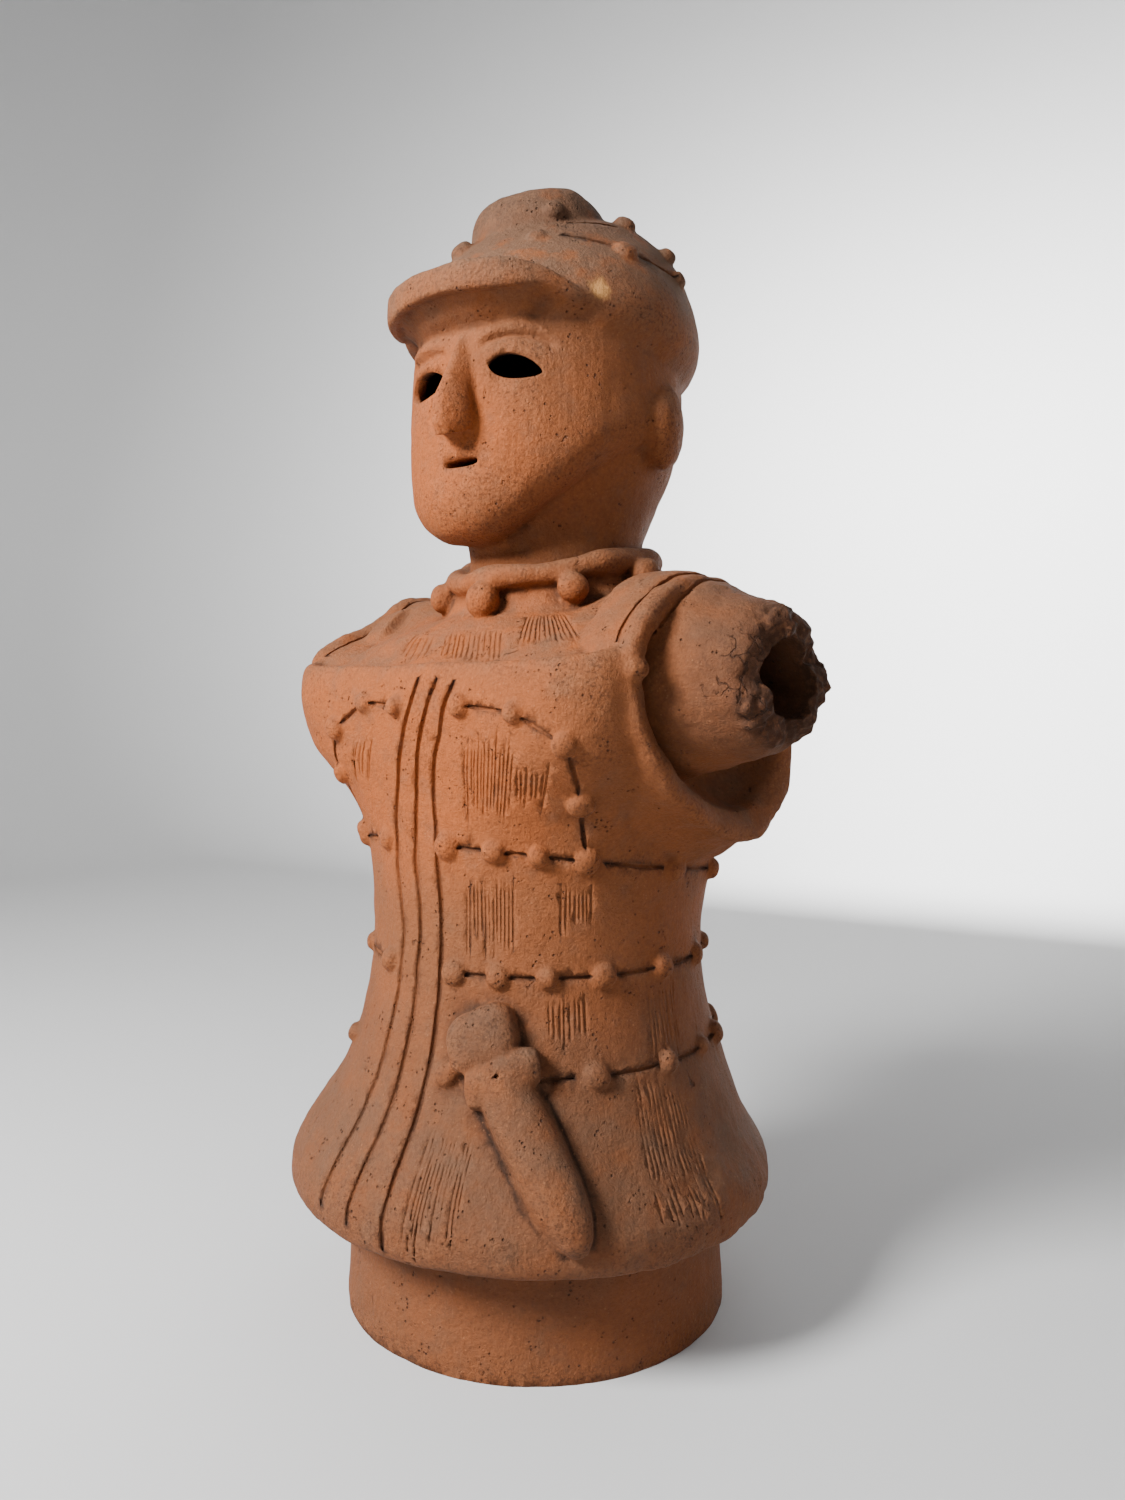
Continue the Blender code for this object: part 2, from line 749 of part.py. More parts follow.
def form_head_cavity(collection):
    mesh = turned_mesh("head hollow", HEAD_CAVITY_LINE, 20)
    move_points(mesh, lambda point: point + (NECK_CENTRE + HEAD_CENTRE) * 0.5)
    return link_mesh("head hollow", mesh, collection)


def form_ground_cut(collection):
    shell = bmesh.new()
    size = Matrix.Diagonal((0.4, 0.4, 0.020, 1.0))
    bmesh.ops.create_cube(shell, size=1.0, matrix=Matrix.Translation((0.0, 0.0, -0.010)) @ size)
    mesh = bpy.data.meshes.new("ground cut")
    shell.to_mesh(mesh)
    shell.free()
    return link_mesh("ground cut", mesh, collection)


def add_boolean(item, operation, collection):
    cut = item.modifiers.new(collection.name, "BOOLEAN")
    cut.operation = operation
    cut.operand_type = "COLLECTION"
    cut.collection = collection
    cut.solver = "EXACT"


def bake_modifiers(item):
    """Replaces an object's mesh with the one that its modifiers make."""
    graph = bpy.context.evaluated_depsgraph_get()
    mesh = bpy.data.meshes.new_from_object(item.evaluated_get(graph))
    item.modifiers.clear()
    item.data = mesh


def gather_clay(body, collection):
    """Joins the added clay to the body's mesh, as forms that overlap."""
    shell = bmesh.new()
    shell.from_mesh(body.data)
    for item in collection.objects:
        shell.from_mesh(item.data)
    shell.to_mesh(body.data)
    shell.free()


def melt_clay(body):
    """Makes one skin of the overlapping forms, in a modest number of faces."""
    remesh = body.modifiers.new("one skin", "REMESH")
    remesh.mode = "VOXEL"
    remesh.voxel_size = MERGE_SIZE
    bake_modifiers(body)
    triangles = 2 * len(body.data.polygons)
    thin = body.modifiers.new("fewer faces", "DECIMATE")
    thin.ratio = OUTSIDE_TRIANGLES / triangles
    bake_modifiers(body)


def main():
    clear_scene()
    figure = new_collection("haniwa figure")
    rings = new_collection("armhole rings")
    recesses = new_collection("armhole recesses")
    clay = new_collection("added clay")
    hollows = new_collection("hollows")

    body = form_torso(figure)
    for side in (1, -1):
        form_armhole(side, rings)
        form_armhole_recess(side, recesses)
    form_arm(1, LEFT_ARM_REACH, 0.0, clay)
    form_arm(-1, RIGHT_ARM_REACH, RIGHT_ARM_DROOP, clay)
    form_seat(clay)
    form_neck(clay)
    form_head(clay)
    form_nose(clay)
    form_ear(1, clay)
    form_ear(-1, clay)
    form_helmet(clay)
    form_crown(clay)
    form_visor(clay)
    form_collar(clay)
    form_beads(clay)
    form_rivets(clay)
    form_dagger(clay)
    form_cavity(hollows)
    form_head_cavity(hollows)
    form_arm_bore(1, 0.0, hollows)
    form_arm_bore(-1, RIGHT_ARM_DROOP, hollows)
    form_slot("left eye", 22.0, EYE_HEIGHT, 0.0135, 0.0066, 0.0050, -8.0, hollows)
    form_slot("right eye", -22.0, EYE_HEIGHT, 0.0135, 0.0066, 0.0050, 8.0, hollows)
    form_slot("mouth", -2.0, MOUTH_HEIGHT, 0.0110, 0.0016, 0.0016, 2.0, hollows)
    form_ground_cut(hollows)

    add_boolean(body, "UNION", rings)
    add_boolean(body, "DIFFERENCE", recesses)
    bake_modifiers(body)
    gather_clay(body, clay)
    melt_clay(body)
    add_boolean(body, "DIFFERENCE", hollows)
    body.data.materials.append(clay_material())
    body.data.shade_smooth()


main()
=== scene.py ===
# Haniwa guard: a hollow bust of fired clay in riveted armour, with a visored helmet, a dagger
# on the skirt and two broken arms. Plain forms are laid up, melted into one skin of clay,
# hollowed and cut with a round tool, then given the clay's colour, dirt, painted shade and grain.
# Metres. It stands on z = 0 and faces -Y, and its own left arm points along +X.

import math

import bmesh
import bpy
import numpy as np
from mathutils import Matrix, Vector, noise
from mathutils.bvhtree import BVHTree


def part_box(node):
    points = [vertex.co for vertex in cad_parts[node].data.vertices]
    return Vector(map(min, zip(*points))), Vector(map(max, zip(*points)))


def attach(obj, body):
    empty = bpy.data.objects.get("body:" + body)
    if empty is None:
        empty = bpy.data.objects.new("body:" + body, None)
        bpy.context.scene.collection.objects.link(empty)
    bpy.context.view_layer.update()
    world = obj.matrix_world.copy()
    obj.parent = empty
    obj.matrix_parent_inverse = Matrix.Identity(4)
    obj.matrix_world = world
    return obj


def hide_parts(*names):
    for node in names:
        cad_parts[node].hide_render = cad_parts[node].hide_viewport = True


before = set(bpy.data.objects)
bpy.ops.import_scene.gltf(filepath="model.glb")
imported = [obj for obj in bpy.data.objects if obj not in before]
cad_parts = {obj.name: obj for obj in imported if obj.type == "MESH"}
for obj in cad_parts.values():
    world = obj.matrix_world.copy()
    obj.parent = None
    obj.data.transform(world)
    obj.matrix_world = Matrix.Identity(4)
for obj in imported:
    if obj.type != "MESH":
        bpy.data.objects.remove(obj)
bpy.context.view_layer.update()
figureLow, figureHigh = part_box("haniwa_figure")
figureMiddle = 0.5 * (figureLow.z + figureHigh.z)

# How the clay is worked.
clay = {
    "skin": 0.00125,      # grid that melts the forms together
    "outsideTriangles": 150000,
    "turnSteps": 160,
    "lineStep": 0.003,              # between points of a turned outline
    "bigBlend": 0.0022,             # how far the big forms and then the small ones are softened
    "smallBlend": 0.0013,
    # the hand's unevenness: height, size, seed
    "uneven": ((0.0009, 0.045, 1.0), (0.00055, 0.016, 2.0)),
    "streaks": (0.00028, 0.0055, 5.0),
    "armUneven": ((0.0009, 0.012, 8.0), (0.0005, 0.005, 9.0)),
}
skyward = Vector((0.0, 0.0, 1.0))
bothSides = (1, -1)                 # the figure's left and right


# Small tools.

def easeThrough(keys, values, at):
    # smooth curve through the rows that never swings past them
    keys = np.asarray(keys, float)
    values = np.asarray(values, float)
    gap = np.diff(keys)
    rise = np.diff(values) / gap
    slope = np.zeros(len(keys))
    before, after = rise[:-1], rise[1:]
    same = before * after > 0.0
    slope[1:-1][same] = 2.0 * before[same] * after[same] / (before[same] + after[same])
    slope[0], slope[-1] = rise[0], rise[-1]
    at = np.clip(np.asarray(at, float), keys[0], keys[-1])
    spot = np.clip(np.searchsorted(keys, at, side="right") - 1, 0, len(keys) - 2)
    share = (at - keys[spot]) / gap[spot]
    span = gap[spot]
    start = values[spot] * (1.0 + 2.0 * share) * (1.0 - share) ** 2
    leave = slope[spot] * span * share * (1.0 - share) ** 2
    stop = values[spot + 1] * share ** 2 * (3.0 - 2.0 * share)
    reach = slope[spot + 1] * span * share ** 2 * (share - 1.0)
    return start + leave + stop + reach


def easeRows(rows, at, column=1, key=0):
    # the same through one column of a table, found by another column
    rows = np.asarray(rows, float)
    return easeThrough(rows[:, key], rows[:, column], at)


def easeStep(value):
    value = np.clip(value, 0.0, 1.0)
    return value * value * (3.0 - 2.0 * value)


def waves(turn, rows):
    # several waves round a form on top of each other, each as height, count and start
    return sum(height * np.sin(count * turn + start) for height, count, start in rows)


def azimuthOf(points):
    # turn about Z from the front towards the figure's left
    return np.arctan2(points[:, 0], -points[:, 1])


def spoke(turn, reach, height=0.0):
    return Vector((reach * math.sin(turn), -reach * math.cos(turn), height))


def denseLine(line):
    # a turned form's outline with points every few millimetres
    line = np.asarray(line, float)
    walked = np.concatenate(([0.0], np.cumsum(np.hypot(*np.diff(line, axis=0).T))))
    at = np.linspace(0.0, walked[-1], max(8, int(walked[-1] / clay["lineStep"])))
    return np.column_stack((easeThrough(walked, line[:, 0], at), easeThrough(walked, line[:, 1], at)))


def readPoints(mesh, what="co"):
    flat = np.empty(3 * len(mesh.vertices), np.float32)
    mesh.vertices.foreach_get(what, flat)
    return flat.reshape(-1, 3).astype(float)


def writePoints(mesh, points):
    mesh.vertices.foreach_set("co", points.astype(np.float32).ravel())
    mesh.update()


def meshOf(form, name):
    bmesh.ops.recalc_face_normals(form, faces=form.faces)
    bmesh.ops.triangulate(form, faces=form.faces)
    mesh = bpy.data.meshes.new(name)
    form.to_mesh(mesh)
    form.free()
    return mesh


def turnedForm(name, line, rule, steps=None, dense=True):
    # outline of (radius, height) points, turned about Z into a closed form, then moved by a rule
    form = bmesh.new()
    rows = denseLine(line) if dense else line
    chain = [form.verts.new((max(radius, 0.0), 0.0, height)) for radius, height in rows]
    edges = [form.edges.new(pair) for pair in zip(chain, chain[1:])]
    bmesh.ops.spin(
        form, geom=chain + edges, axis=(0.0, 0.0, 1.0), cent=(0.0, 0.0, 0.0),
        angle=2.0 * math.pi, steps=steps or clay["turnSteps"], use_merge=True)
    bmesh.ops.remove_doubles(form, verts=form.verts, dist=0.00002)
    mesh = meshOf(form, name)
    writePoints(mesh, rule(readPoints(mesh)))
    return mesh


def placed(points, place):
    turn = np.array(place.to_3x3())
    return points @ turn.T + np.array(place.translation)


def axisTurn(outward, upward):
    # rotation whose Z axis is outward and whose Y axis leans to upward
    outward = Vector(outward).normalized()
    sideways = Vector(upward).cross(outward).normalized()
    return Matrix((sideways, outward.cross(sideways), outward)).transposed()


def placeOf(centre, turn, size):
    return Matrix.Translation(centre) @ turn.to_4x4() @ Matrix.Diagonal((*size, 1.0))


def blunted(value, blunt):
    return math.copysign(abs(value) ** blunt, value)


def addBall(form, centre, radii, turn, columns=32, rows=20):
    return bmesh.ops.create_uvsphere(
        form, u_segments=columns, v_segments=rows, radius=1.0, matrix=placeOf(centre, turn, radii))["verts"]


def addPellet(form, centre, radii, turn, blunt):
    # a ball pressed flat: steep sides and a flattened face
    verts = addBall(form, Vector(), (1.0, 1.0, 1.0), Matrix.Identity(3), 28, 16)
    for vert in verts:
        vert.co.z = blunted(vert.co.z, blunt)
    bmesh.ops.transform(form, matrix=placeOf(centre, turn, radii), verts=verts)


def addTube(form, route, radii, upward, flat=1.0, sides=16, blunt=1.0):
    # sweeps a ring along a route; flat squeezes it along upward, a low blunt squares it off
    route = [Vector(spot) for spot in route]
    last = len(route) - 1
    places = []
    for index, spot in enumerate(route):
        ahead = (route[min(index + 1, last)] - route[max(index - 1, 0)]).normalized()
        turn = axisTurn(ahead, upward[index] if isinstance(upward, list) else upward)
        places.append(placeOf(spot, turn, (radii[index], radii[index] * flat, 1.0)))
    ring = bmesh.ops.create_circle(form, cap_ends=True, radius=1.0, segments=sides)["verts"]
    for vert in ring:
        vert.co.x = blunted(vert.co.x, blunt)
        vert.co.y = blunted(vert.co.y, blunt)
    bmesh.ops.transform(form, matrix=places[0], verts=ring)
    rim = list(ring[0].link_faces[0].edges)
    for before, after in zip(places, places[1:]):
        pushed = bmesh.ops.extrude_edge_only(form, edges=rim)["geom"]
        ring = [item for item in pushed if isinstance(item, bmesh.types.BMVert)]
        rim = [item for item in pushed if isinstance(item, bmesh.types.BMEdge)]
        bmesh.ops.transform(form, matrix=after @ before.inverted(), verts=ring)
    bmesh.ops.edgeloop_fill(form, edges=rim)


def newObject(name, mesh):
    item = bpy.data.objects.new(name, mesh)
    bpy.context.scene.collection.objects.link(item)
    return item


def settle(item):
    # the mesh that an object's modifiers make becomes its own
    graph = bpy.context.evaluated_depsgraph_get()
    mesh = bpy.data.meshes.new_from_object(item.evaluated_get(graph))
    item.modifiers.clear()
    item.data = mesh


def joinForms(item, meshes):
    form = bmesh.new()
    form.from_mesh(item.data)
    for mesh in meshes:
        form.from_mesh(mesh)
        bpy.data.meshes.remove(mesh)
    form.to_mesh(item.data)
    form.free()


def melt(item):
    remesh = item.modifiers.new("one skin", "REMESH")
    remesh.mode = "VOXEL"
    remesh.voxel_size = clay["skin"]
    remesh.use_smooth_shade = True
    settle(item)


def cut(item, cutters, solver="MANIFOLD", operation="DIFFERENCE"):
    # cutters are meshes; each becomes an object for as long as the cut takes
    held = []
    for mesh in cutters:
        cutter = newObject(mesh.name, mesh)
        tool = item.modifiers.new(mesh.name, "BOOLEAN")
        tool.operation = operation
        tool.object = cutter
        tool.solver = solver
        held.append(cutter)
    settle(item)
    for cutter in held:
        bpy.data.objects.remove(cutter, do_unlink=True)


def edgesOf(mesh):
    pairs = np.empty(2 * len(mesh.edges), np.int32)
    mesh.edges.foreach_get("vertices", pairs)
    return pairs.reshape(-1, 2)


def neighbourCount(points, pairs):
    count = np.bincount(pairs.ravel(), minlength=len(points)).astype(float)
    count[count == 0.0] = 1.0
    return count


def neighbourMean(values, pairs, count):
    total = np.zeros((len(values), values.shape[1]))
    for column in range(values.shape[1]):
        total[:, column] += np.bincount(pairs[:, 0], values[pairs[:, 1], column], len(values))
        total[:, column] += np.bincount(pairs[:, 1], values[pairs[:, 0], column], len(values))
    return total / count[:, None]


def smoothed(points, pairs, rounds, share):
    count = neighbourCount(points, pairs)
    for _ in range(rounds):
        points = points + share * (neighbourMean(points, pairs, count) - points)
    return points


def smoothForm(item, distance):
    rounds = max(1, round((distance / clay["skin"]) ** 2))
    pairs = edgesOf(item.data)
    points = readPoints(item.data)
    for _ in range(rounds):
        points = smoothed(points, pairs, 1, 0.6)
        points = smoothed(points, pairs, 1, -0.35)
    writePoints(item.data, points)


def cloud(points, size, seed):
    # soft noise from -1 to 1 that changes over about the given distance
    shift = Vector((seed * 7.31, seed * 3.77, seed * 1.93))
    scale = 1.0 / size
    return np.array([noise.noise(Vector(point) * scale + shift) for point in points])


def routeDistance(points, route, reach):
    # distance from points to a route, out to reach
    route = np.asarray(route, float)
    nearest = np.full(len(points), reach)
    inside = np.all((points > route.min(0) - reach) & (points < route.max(0) + reach), axis=1)
    chosen = np.flatnonzero(inside)
    for start, stop in zip(route, route[1:]):
        span = stop - start
        local = points[chosen] - start
        share = np.clip(local @ span / np.linalg.norm(span) ** 2, 0.0, 1.0)
        away = np.linalg.norm(local - share[:, None] * span, axis=1)
        nearest[chosen] = np.minimum(nearest[chosen], away)
    return nearest


# Torso: yoke, chest plate, waist, flared skirt and round foot.

torso = {
    "base": 0.1,
    "plateTop": 0.336,
    "collarSeat": 0.374,
    "shoulderLift": 0.038,
    "shoulder": (0.288, 0.045),     # height where the lift starts, and over how much it grows
    "skirtTop": 0.16,
    "hemTilt": 0.012,
    "hemShift": 0.0021,
    # outline at the side: radius, height, from the collar down
    "line": (
        (0.0, 0.366), (0.038, 0.366), (0.052, 0.3605), (0.072, 0.351), (0.089, 0.3405),
        (0.1005, 0.334), (0.106, 0.332), (0.11, 0.335), (0.114, 0.336), (0.1172, 0.3335),
        (0.1192, 0.328), (0.1202, 0.318), (0.119, 0.307), (0.1152, 0.293), (0.1095, 0.282),
        (0.103, 0.27), (0.097, 0.257), (0.0925, 0.243), (0.0905, 0.228), (0.0895, 0.21),
        (0.0895, 0.193), (0.091, 0.172), (0.0945, 0.152), (0.0985, 0.138), (0.106, 0.1185),
        (0.1165, 0.0985), (0.1245, 0.085), (0.128, 0.077), (0.1285, 0.069), (0.1265, 0.062),
        (0.122, 0.0595), (0.108, 0.064), (0.0988, 0.067), (0.0985, 0.05), (0.1003, 0.02),
        (0.1017, 0.004), (0.1017, -0.008), (0.0, -0.008),
    ),
    "outside": slice(10, 29),       # its rows from the shoulder to the hem
    # level sections: height, depth over half width in front and behind, squareness
    "sections": (
        (0.0, 1.0, 1.0, 2.0), (0.141, 1.0, 1.0, 2.0), (0.195, 0.96, 0.98, 2.05),
        (0.215, 0.95, 1.05, 2.1), (0.231, 0.94, 1.135, 2.15), (0.257, 0.885, 1.09, 2.4),
        (0.27, 0.845, 1.02, 2.8), (0.282, 0.81, 0.985, 3.5), (0.302, 0.77, 0.93, 4.8),
        (0.336, 0.762, 0.86, 5.6), (0.348, 0.815, 0.9, 4.0), (0.36, 0.92, 0.94, 2.6),
        (0.374, 1.0, 1.0, 2.0),
    ),
}


def torsoPoints(azimuth, radius, height):
    front, behind, square = (easeRows(torso["sections"], height, column) for column in (1, 2, 3))
    across = np.abs(np.sin(azimuth))
    along = np.abs(np.cos(azimuth))
    reach = (across ** square + along ** square) ** (-1.0 / square)
    ratio = np.where(np.cos(azimuth) > 0.0, front, behind)
    x = radius * reach * np.sin(azimuth)
    y = -radius * ratio * reach * np.cos(azimuth)
    start, grown = torso["shoulder"]
    lift = torso["shoulderLift"] * across ** 8 * easeStep((height - start) / grown)
    lift = lift * (1.0 - easeStep((height - torso["plateTop"]) / (torso["collarSeat"] - torso["plateTop"])))
    skirt = easeStep((radius - torso["base"]) / 0.02) * easeStep((torso["skirtTop"] - height) / 0.03)
    drop = torso["hemTilt"] * (x + y) * skirt
    shift = torso["hemShift"] * skirt
    return np.column_stack((x - shift, y - shift, height + lift - drop))


def onTorso(degrees, height, rise=0.0):
    # point on the outside of the torso, raised along its normal, and that normal
    outside = torso["line"][torso["outside"]][::-1]
    aside, step = 0.02, 0.002
    turn = math.radians(degrees)
    turns = np.array([turn, turn + aside, turn - aside, turn, turn])
    heights = np.array([height, height, height, height + step, height - step])
    spots = torsoPoints(turns, easeRows(outside, heights, 0, 1), heights)
    normal = np.cross(spots[1] - spots[2], spots[3] - spots[4])
    normal /= np.linalg.norm(normal)
    return Vector(spots[0] + normal * rise), Vector(normal)


def makeTorso():
    def rule(points):
        return torsoPoints(azimuthOf(points), np.hypot(points[:, 0], points[:, 1]), points[:, 2])

    return turnedForm("torso", torso["line"], rule)


# Armholes and the broken arms.

arms = {
    "holeHeight": 0.3135,
    "holeBack": 0.001,
    "holeRadius": 0.0655,
    "holeDepth": 1.06,              # how much longer the hole is from front to back
    # height of the hole's edge for its radius, in degrees from the top towards the back:
    # its lower front, its top on either side and its lower back
    "holeFront": ((-180, -0.96), (-150, -0.67), (-120, -0.213)),
    "holeTop": {
        1: ((-95, 0.214), (-74, 0.37), (-56, 0.585), (-30, 0.835), (-9, 0.935), (6, 0.915), (17, 0.8),
            (32, 0.61), (48, 0.4), (65, 0.13), (90, -0.297)),
        -1: ((-95, 0.23), (-80, 0.36), (-63, 0.475), (-36, 0.62), (-19, 0.745), (3, 1.0), (15, 1.03),
             (28, 0.94), (45, 0.66), (60, 0.34), (90, -0.27)),
    },
    "holeBehind": ((105, -0.53), (122, -0.745), (137, -0.9), (152, -1.01), (165, -1.015), (180, -0.96)),
    "holeSag": 0.015,               # how far its underside sags towards the waist
    "sagFrom": (0.003, 0.032),      # depth where the sag starts, and over how much it grows
    "recessRise": 0.0035,
    "holeReach": 0.1135,
    "lean": math.radians(4.0),
    "height": {1: 0.3302, -1: 0.325},
    "start": 0.08,
    "rootRadius": 0.046,
    "endRadius": 0.033,
    "boreRadius": 0.0188,
    "reach": {1: 0.1655, -1: 0.159},
    "droop": {1: math.radians(2.6), -1: math.radians(12.0)},
    "forward": math.radians(4.0),
    "strapRadius": 0.0064,
    "strapInset": 0.0042,           # from the hole's edge
    "strapOut": 0.0028,
    "strapEnds": (-80.0, 66.0),     # degrees from the hole's top
    # the seam on either side of the strap: how far beyond its middle line, how far out from the hole
    "strapSeams": ((-0.0068, 0.003), (0.0045, -0.0045)),
    "knob": (0.006, 0.0068, 0.008),
}


def holePlace(side):
    turn = Matrix.Rotation(side * (math.pi / 2.0 - arms["lean"]), 4, "Y")
    centre = (side * arms["holeReach"], arms["holeBack"], arms["holeHeight"])
    return Matrix.Translation(centre) @ turn


def armPlace(side):
    turn = Matrix.Rotation(-side * arms["forward"], 4, "Z")
    turn = turn @ Matrix.Rotation(side * (math.pi / 2.0 + arms["droop"][side]), 4, "Y")
    return Matrix.Translation((side * arms["start"], 0.0, arms["height"][side])) @ turn


def holeRise(side, radius, turn):
    # height of a point of the hole's edge over its middle; turn is 0 at the top, more to the back
    rows = arms["holeFront"] + arms["holeTop"][side] + arms["holeBehind"]
    return radius * easeRows(rows, np.degrees(turn))


def turnedHole(name, line, side, rise=0.0, sag=0.0):
    # a form round the armhole's own axis, long from front to back, moved up by rise;
    # its underside sags towards the waist
    start, grown = arms["sagFrom"]

    def rule(points):
        turn = np.arctan2(points[:, 1], -side * points[:, 0])
        up = holeRise(side, np.hypot(points[:, 0], points[:, 1]), turn)
        up = up - sag * easeStep(-1.3 * np.cos(turn)) * easeStep((-points[:, 2] - start) / grown)
        points[:, 1] *= arms["holeDepth"]
        points[:, 0] = -side * (up + rise)
        return placed(points, holePlace(side))

    return turnedForm(name, line, rule)


def makeArmhole(side):
    # flat band round the hole, then the flare below it
    wide = arms["holeRadius"]
    line = (
        (0.0, 0.002), (wide - 0.013, 0.002), (wide - 0.01, 0.0042), (wide - 0.005, 0.0058),
        (wide - 0.0018, 0.005), (wide - 0.0002, 0.0022), (wide, -0.004), (wide, -0.015),
        (wide - 0.0025, -0.029), (wide - 0.0105, -0.046), (wide - 0.024, -0.064), (0.0, -0.064))
    return turnedHole("armhole", line, side, sag=arms["holeSag"])


def makeArmRecess(side):
    wide = arms["holeRadius"]
    line = (
        (0.0, 0.016), (wide - 0.0045, 0.016), (wide - 0.0105, 0.0055), (wide - 0.013, -0.002),
        (wide - 0.0165, -0.0095), (wide - 0.0225, -0.017), (wide - 0.031, -0.0215), (0.0, -0.0215))
    return turnedHole("armhole recess", line, side, arms["recessRise"])


def makeArm(side):
    length = arms["reach"][side] - arms["start"]
    end = arms["endRadius"]
    root = arms["rootRadius"]
    line = (
        (0.0, length - 0.002), (end - 0.008, length - 0.001), (end - 0.001, length - 0.004),
        (end + 0.001, length - 0.01), (end + 0.0045, length - 0.022), (root - 0.0055, length - 0.034),
        (root - 0.001, length - 0.046), (root + 0.0014, length - 0.056), (root + 0.0052, length - 0.065),
        (root + 0.0052, 0.0), (0.0, -0.004))

    def rule(points):
        turn = np.arctan2(points[:, 1], points[:, 0])
        ragged = waves(turn, ((0.0026, 3.0, side), (0.0018, 7.0, 0.0)))
        share = easeStep((points[:, 2] - length + 0.014) / 0.01)
        share = share * np.minimum(1.0, np.hypot(points[:, 0], points[:, 1]) / 0.02)
        points[:, 2] -= (0.003 + ragged) * share
        return placed(points, armPlace(side))

    return turnedForm("arm", line, rule)


def makeArmBore(side):
    wide = arms["boreRadius"]
    line = ((0.0, 0.12), (wide, 0.12), (wide, 0.05), (wide + 0.002, -0.025), (0.0, -0.025))

    def rule(points):
        turn = np.arctan2(points[:, 1], points[:, 0])
        along = points[:, 2]
        wobble = 1.0 + waves(turn, ((0.06, 2.0, 0.5), (0.05, 3.0, 60.0 * along), (0.03, 5.0, -90.0 * along)))
        points[:, :2] *= wobble[:, None]
        return placed(points, armPlace(side))

    return turnedForm("arm bore", line, rule, 40)


def strapSpot(side, degrees, beyond, out):
    # point of the strap's middle line, or of a line beyond it, so far out from the hole
    wide = arms["holeRadius"] - arms["strapInset"] + beyond
    turn = math.radians(degrees)
    up = float(holeRise(side, wide, turn))
    return holePlace(side) @ Vector((-side * up, arms["holeDepth"] * wide * math.sin(turn), out))


def makeStrap(side):
    # rolled edge of the armour over the top of the armhole
    form = bmesh.new()
    turned = holePlace(side).to_3x3()
    first, last = arms["strapEnds"]
    route = []
    radii = []
    for step in range(41):
        share = step / 40.0
        route.append(strapSpot(side, first + (last - first) * share, 0.0, arms["strapOut"]))
        radii.append(arms["strapRadius"] * (0.45 + 0.55 * math.sin(math.pi * share) ** 0.25))
    addTube(form, route, radii, turned @ skyward, 1.0, 20, 0.8)
    # knob at the strap's front end, by the corner of the chest plate
    addBall(form, route[0] + Vector((0.0, 0.002, -0.003)), arms["knob"], turned)
    return meshOf(form, "strap")


def strapLine(side, beyond, out):
    # the seam on one side of the strap
    return [strapSpot(side, degrees, beyond, out) for degrees in range(-66, 63, 4)]


# Neck, collar roll and its pellets.

neck = {
    "centre": Vector((0.0015, 0.015, 0.0)),
    "radius": 0.048,
    "collarCentre": Vector((0.0015, 0.013, 0.0)),
    "collarRadius": 0.0545,
    "collarHeight": 0.3935,
    "collarSwing": 0.014,           # lower in front, higher behind
    "roll": 0.0065,
    "wander": ((0.001, 3.0, 0.6), (0.0007, 7.0, 0.0)),  # of the roll's middle line
    "swell": ((0.08, 5.0, 1.0), (0.06, 11.0, 0.0)),     # of its thickness
    "bead": 0.009,
    "beads": (-52, 6, 51, 93, 145, 192, 232, 270),
    "beadOut": 0.0078,              # from the roll's middle
    "beadDrop": 0.0102,
    "beadBlunt": 0.85,
}


def makeNeck():
    wide = neck["radius"]
    line = (
        (0.0, 0.458), (0.067, 0.458), (0.0645, 0.446), (0.059, 0.43), (0.053, 0.416), (wide + 0.001, 0.404),
        (wide, 0.394), (wide + 0.003, 0.37), (0.0, 0.37))
    return turnedForm("neck", line, lambda points: points + np.array(neck["centre"]))


def collarHeight(azimuth):
    return neck["collarHeight"] - neck["collarSwing"] * np.maximum(np.cos(azimuth), 0.05)


def collarPoint(azimuth, radius=None):
    return neck["collarCentre"] + spoke(azimuth, radius or neck["collarRadius"], float(collarHeight(azimuth)))


def makeSeat():
    # clay packed under the collar roll, down to the yoke; heights are from the roll's middle
    line = (
        (0.0, 0.003), (0.047, 0.003), (0.053, -0.004), (0.056, -0.012), (0.0605, -0.02), (0.069, -0.028),
        (0.083, -0.038), (0.095, -0.048), (0.0, -0.048))

    def rule(points):
        points[:, 2] += collarHeight(azimuthOf(points))
        return points + np.array(neck["collarCentre"])

    return turnedForm("collar seat", line, rule)


def makeCollar():
    # one roll laid round the neck, its two ends lapped behind
    form = bmesh.new()
    route = []
    radii = []
    for step in range(97):
        turn = 2.0 * math.pi * step / 96.0 + math.pi
        wander = float(waves(turn, neck["wander"]))
        route.append(collarPoint(turn, neck["collarRadius"] + wander) + skyward * wander)
        radii.append(neck["roll"] * (1.0 + float(waves(turn, neck["swell"]))))
    addTube(form, route, radii, skyward)
    return meshOf(form, "collar roll")


def makeBeads():
    form = bmesh.new()
    size = neck["bead"]
    for index, degrees in enumerate(neck["beads"]):
        centre = collarPoint(math.radians(degrees))
        level = (centre - neck["collarCentre"]).xy.normalized().to_3d()
        outward = (level + skyward * 0.1).normalized()
        centre += level * neck["beadOut"] - skyward * neck["beadDrop"]
        turn = axisTurn(outward, skyward) @ Matrix.Rotation(index * 1.3, 3, "Z")
        wide = size * (1.0 + 0.07 * math.sin(index * 2.3))
        addPellet(form, centre, (wide, wide * 0.94, size * 0.82), turn, neck["beadBlunt"])
    return meshOf(form, "collar pellets")


# Head and face.

